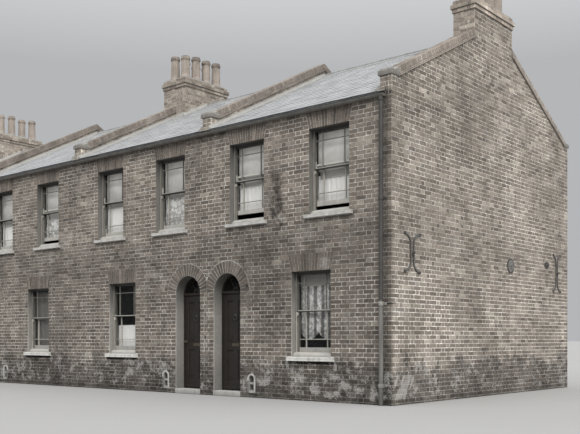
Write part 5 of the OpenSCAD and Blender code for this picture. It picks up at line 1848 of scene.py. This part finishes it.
def cyl(bag, p, q, r, n, slot=0):
    p, q = Vector(p), Vector(q)
    u, v, w = basis(q - p)
    vs = []
    for c in (p, q):
        for i in range(n):
            a = 2 * math.pi * i / n
            vs.append(tuple(c + u * r * math.cos(a) + v * r * math.sin(a)))
    f = [(i, (i + 1) % n, n + (i + 1) % n, n + i) for i in range(n)] + [tuple(range(n - 1, -1, -1)), tuple(range(n, 2 * n))]
    bag.add(vs, f, slot=slot)


def lathe(bag, origin, axis, prof, n, slot=0):
    o = Vector(origin)
    u, v, w = basis(axis)
    vs, f = [], []
    for h, r in prof:
        for i in range(n):
            a = 2 * math.pi * i / n
            vs.append(tuple(o + w * h + u * r * math.cos(a) + v * r * math.sin(a)))
    for j in range(len(prof) - 1):
        for i in range(n):
            f.append((j * n + i, j * n + (i + 1) % n, (j + 1) * n + (i + 1) % n, (j + 1) * n + i))
    f.append(tuple(range(n - 1, -1, -1)))
    bag.add(vs, f, slot=slot)


def torus(bag, c, big, small, n, m, slot=0):
    vs, f = [], []
    for i in range(n):
        a = 2 * math.pi * i / n
        for j in range(m):
            b = 2 * math.pi * j / m
            r = big + small * math.cos(b)
            vs.append((c[0] + r * math.cos(a), c[1] + small * math.sin(b), c[2] + r * math.sin(a)))
    for i in range(n):
        for j in range(m):
            f.append((i * m + j, ((i + 1) % n) * m + j, ((i + 1) % n) * m + (j + 1) % m, i * m + (j + 1) % m))
    bag.add(vs, f, slot=slot)


def door_details():
    """Fanlight bars, a half hub and the transom moulding, which stay with the frame."""
    bag = Bag()
    for xc in PAIRS:
        for s in SIDES:
            c = xc + s * (DOOR_IN + DOOR_R)
            r = DOOR_R - 0.024
            zt = 1.985
            beam(bag, 1, c - DOOR_R, c + DOOR_R, T - 0.016, T + 0.001, zt + 0.006, zt + 0.050, 0.010)
            # two radial bars and a half hub
            for ang in (60, 120):
                a = math.radians(ang)
                p = Vector((c + 0.06 * math.cos(a), YF + T + 0.030, zt + 0.058 + 0.05 * math.sin(a)))
                q = Vector((c + r * math.cos(a) * 1.0, YF + T + 0.030, SPRING + r * math.sin(a)))
                cyl(bag, p, q, 0.009, 8)
            n = 14
            vs = []
            for i in range(n + 1):
                a = math.pi * i / n
                for rr, dd in ((0.052, 0.020), (0.072, 0.020), (0.072, 0.040), (0.052, 0.040)):
                    vs.append((c + rr * math.cos(a), YF + T + dd, zt + 0.058 + rr * math.sin(a)))
            f = [(i * 4 + j, i * 4 + (j + 1) % 4, (i + 1) * 4 + (j + 1) % 4, (i + 1) * 4 + j) for i in range(n) for j in range(4)]
            f += [(3, 2, 1, 0), tuple(n * 4 + j for j in range(4))]
            bag.add(vs, f)
    ob = bag.object("fanlight_bars", MAT["frame"], slot="door_frame_paint")
    fix_normals(ob)


def back_doors():
    """Ledged plank doors with a latch, for the unseen side."""
    bag = Bag()
    for xc in PAIRS:
        for s in SIDES:
            x = xc + s * 1.075
            a, b = x - 0.400, x + 0.400
            n = 7
            for i in range(n):
                p, q = a + (b - a) * i / n + 0.0015, a + (b - a) * (i + 1) / n - 0.0015
                beam(bag, -1, p, q, REVEAL + 0.030, REVEAL + 0.056, 0.064, 2.032, 0.004, (RND.random(),) * 3)
            for z in (0.25, 1.02, 1.78):
                beam(bag, 1, a + 0.03, b - 0.03, DEPTH - REVEAL - 0.072, DEPTH - REVEAL - 0.054, z, z + 0.110, 0.004)
            lathe(bag, (x + s * 0.33, -YF - REVEAL - 0.030, 1.03), (0, 1, 0), [(0, 0.024), (0.004, 0.024), (0.006, 0.010), (0.02, 0.010), (0.03, 0.021), (0.042, 0.024), (0.050, 0.0)], 20, 1)
            for z in (0.30, 1.84):
                beam(bag, -1, a + 0.002, a + 0.42, REVEAL + 0.025, REVEAL + 0.031, z, z + 0.034, 0.002, slot=1)
    ob = bag.object("back_plank_doors", [MAT["boards"], MAT["iron"]], slot="door_paint")
    fix_normals(ob)
    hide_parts("back_doors")


def rainwater():
    """Sockets where gutter lengths join."""
    bag = Bag()
    gd, gr, gz = -0.068, 0.052, 5.152
    for side in (1, -1):
        for k in range(-4, 5):
            x = k * 1.83 + 0.2
            n = 14
            vs = []
            for xx in (x - 0.035, x + 0.035):
                for rr in (gr - 0.001, gr + 0.0045):
                    for i in range(n + 1):
                        a = math.pi + math.pi * i / n
                        vs.append(local(side, xx, gd + rr * math.cos(a), gz + rr * math.sin(a)))
            m = n + 1
            f = []
            for i in range(n):
                f.append((m + i, m + i + 1, 3 * m + i + 1, 3 * m + i))
                f.append((i, m + i, m + i + 1, i + 1))
                f.append((2 * m + i + 1, 3 * m + i + 1, 3 * m + i, 2 * m + i))
            bag.add(vs, f)
    ob = bag.object("gutter_sockets", MAT["gutter"], slot="painted_iron")
    fix_normals(ob)


# ---------------------------------------------------------------- build it all
dress_frame()
outer_walls()
end_walls()
parapets_and_stacks()
copings()
slates()
ridge()
fillets()
window_joinery()
cloths()
front_doors()
door_details()
back_doors()
rainwater()

# ---------------------------------------------------------------- stage, light and camera
me = bpy.data.meshes.new("floor")
R = 400.0
me.from_pydata([(-R, -R, -0.003), (R, -R, -0.003), (R, R, -0.003), (-R, R, -0.003)], [], [(0, 1, 2, 3)])
floor = bpy.data.objects.new("floor", me)
bpy.context.scene.collection.objects.link(floor)
gf = G("pale_floor", Roughness=0.9)
gf.p.inputs["Specular IOR Level"].default_value = 0.1
gf.color(gf.mix(gf.noise(0.15, 3), (0.31, 0.305, 0.297), (0.35, 0.345, 0.337)))
me.materials.append(gf.m)

world = bpy.data.worlds.new("studio")
bpy.context.scene.world = world
world.use_nodes = True
wt = world.node_tree
bg = wt.nodes["Background"]
tc, sep = wt.nodes.new("ShaderNodeTexCoord"), wt.nodes.new("ShaderNodeSeparateXYZ")
mr = wt.nodes.new("ShaderNodeMapRange")
wt.links.new(tc.outputs["Generated"], sep.inputs[0])
wt.links.new(sep.outputs[2], mr.inputs["Value"])
# a soft dome, brighter overhead
mr.inputs["From Min"].default_value, mr.inputs["From Max"].default_value = 0.30, 1.0
mr.inputs["To Min"].default_value, mr.inputs["To Max"].default_value = 0.48, 1.95
wt.links.new(mr.outputs[0], bg.inputs[1])
bg.inputs[0].default_value = (0.955, 0.975, 1.0, 1)

sun = bpy.data.lights.new("key", "SUN")
sun.energy = 2.5
sun.angle = math.radians(50)
sun.color = (1.0, 0.985, 0.96)
so = bpy.data.objects.new("key", sun)
bpy.context.scene.collection.objects.link(so)
so.rotation_mode = "QUATERNION"
so.rotation_quaternion = Vector((0.66, -0.54, 0.80)).to_track_quat("Z", "Y")

cam = bpy.data.cameras.new("camera")
cam.sensor_width = 36.0
cam.lens = 52.87
cam.shift_y = 0.2105
cam.clip_start, cam.clip_end = 0.1, 1000
co = bpy.data.objects.new("camera", cam)
bpy.context.scene.collection.objects.link(co)
co.location = (16.357, -15.377, 1.099)
co.rotation_mode = "QUATERNION"
co.rotation_quaternion = Vector((-0.6469, 0.7626, 0.0)).to_track_quat("-Z", "Y")
bpy.context.scene.camera = co
bpy.context.scene.view_settings.view_transform = "Standard"
bpy.context.scene.view_settings.look = "None"
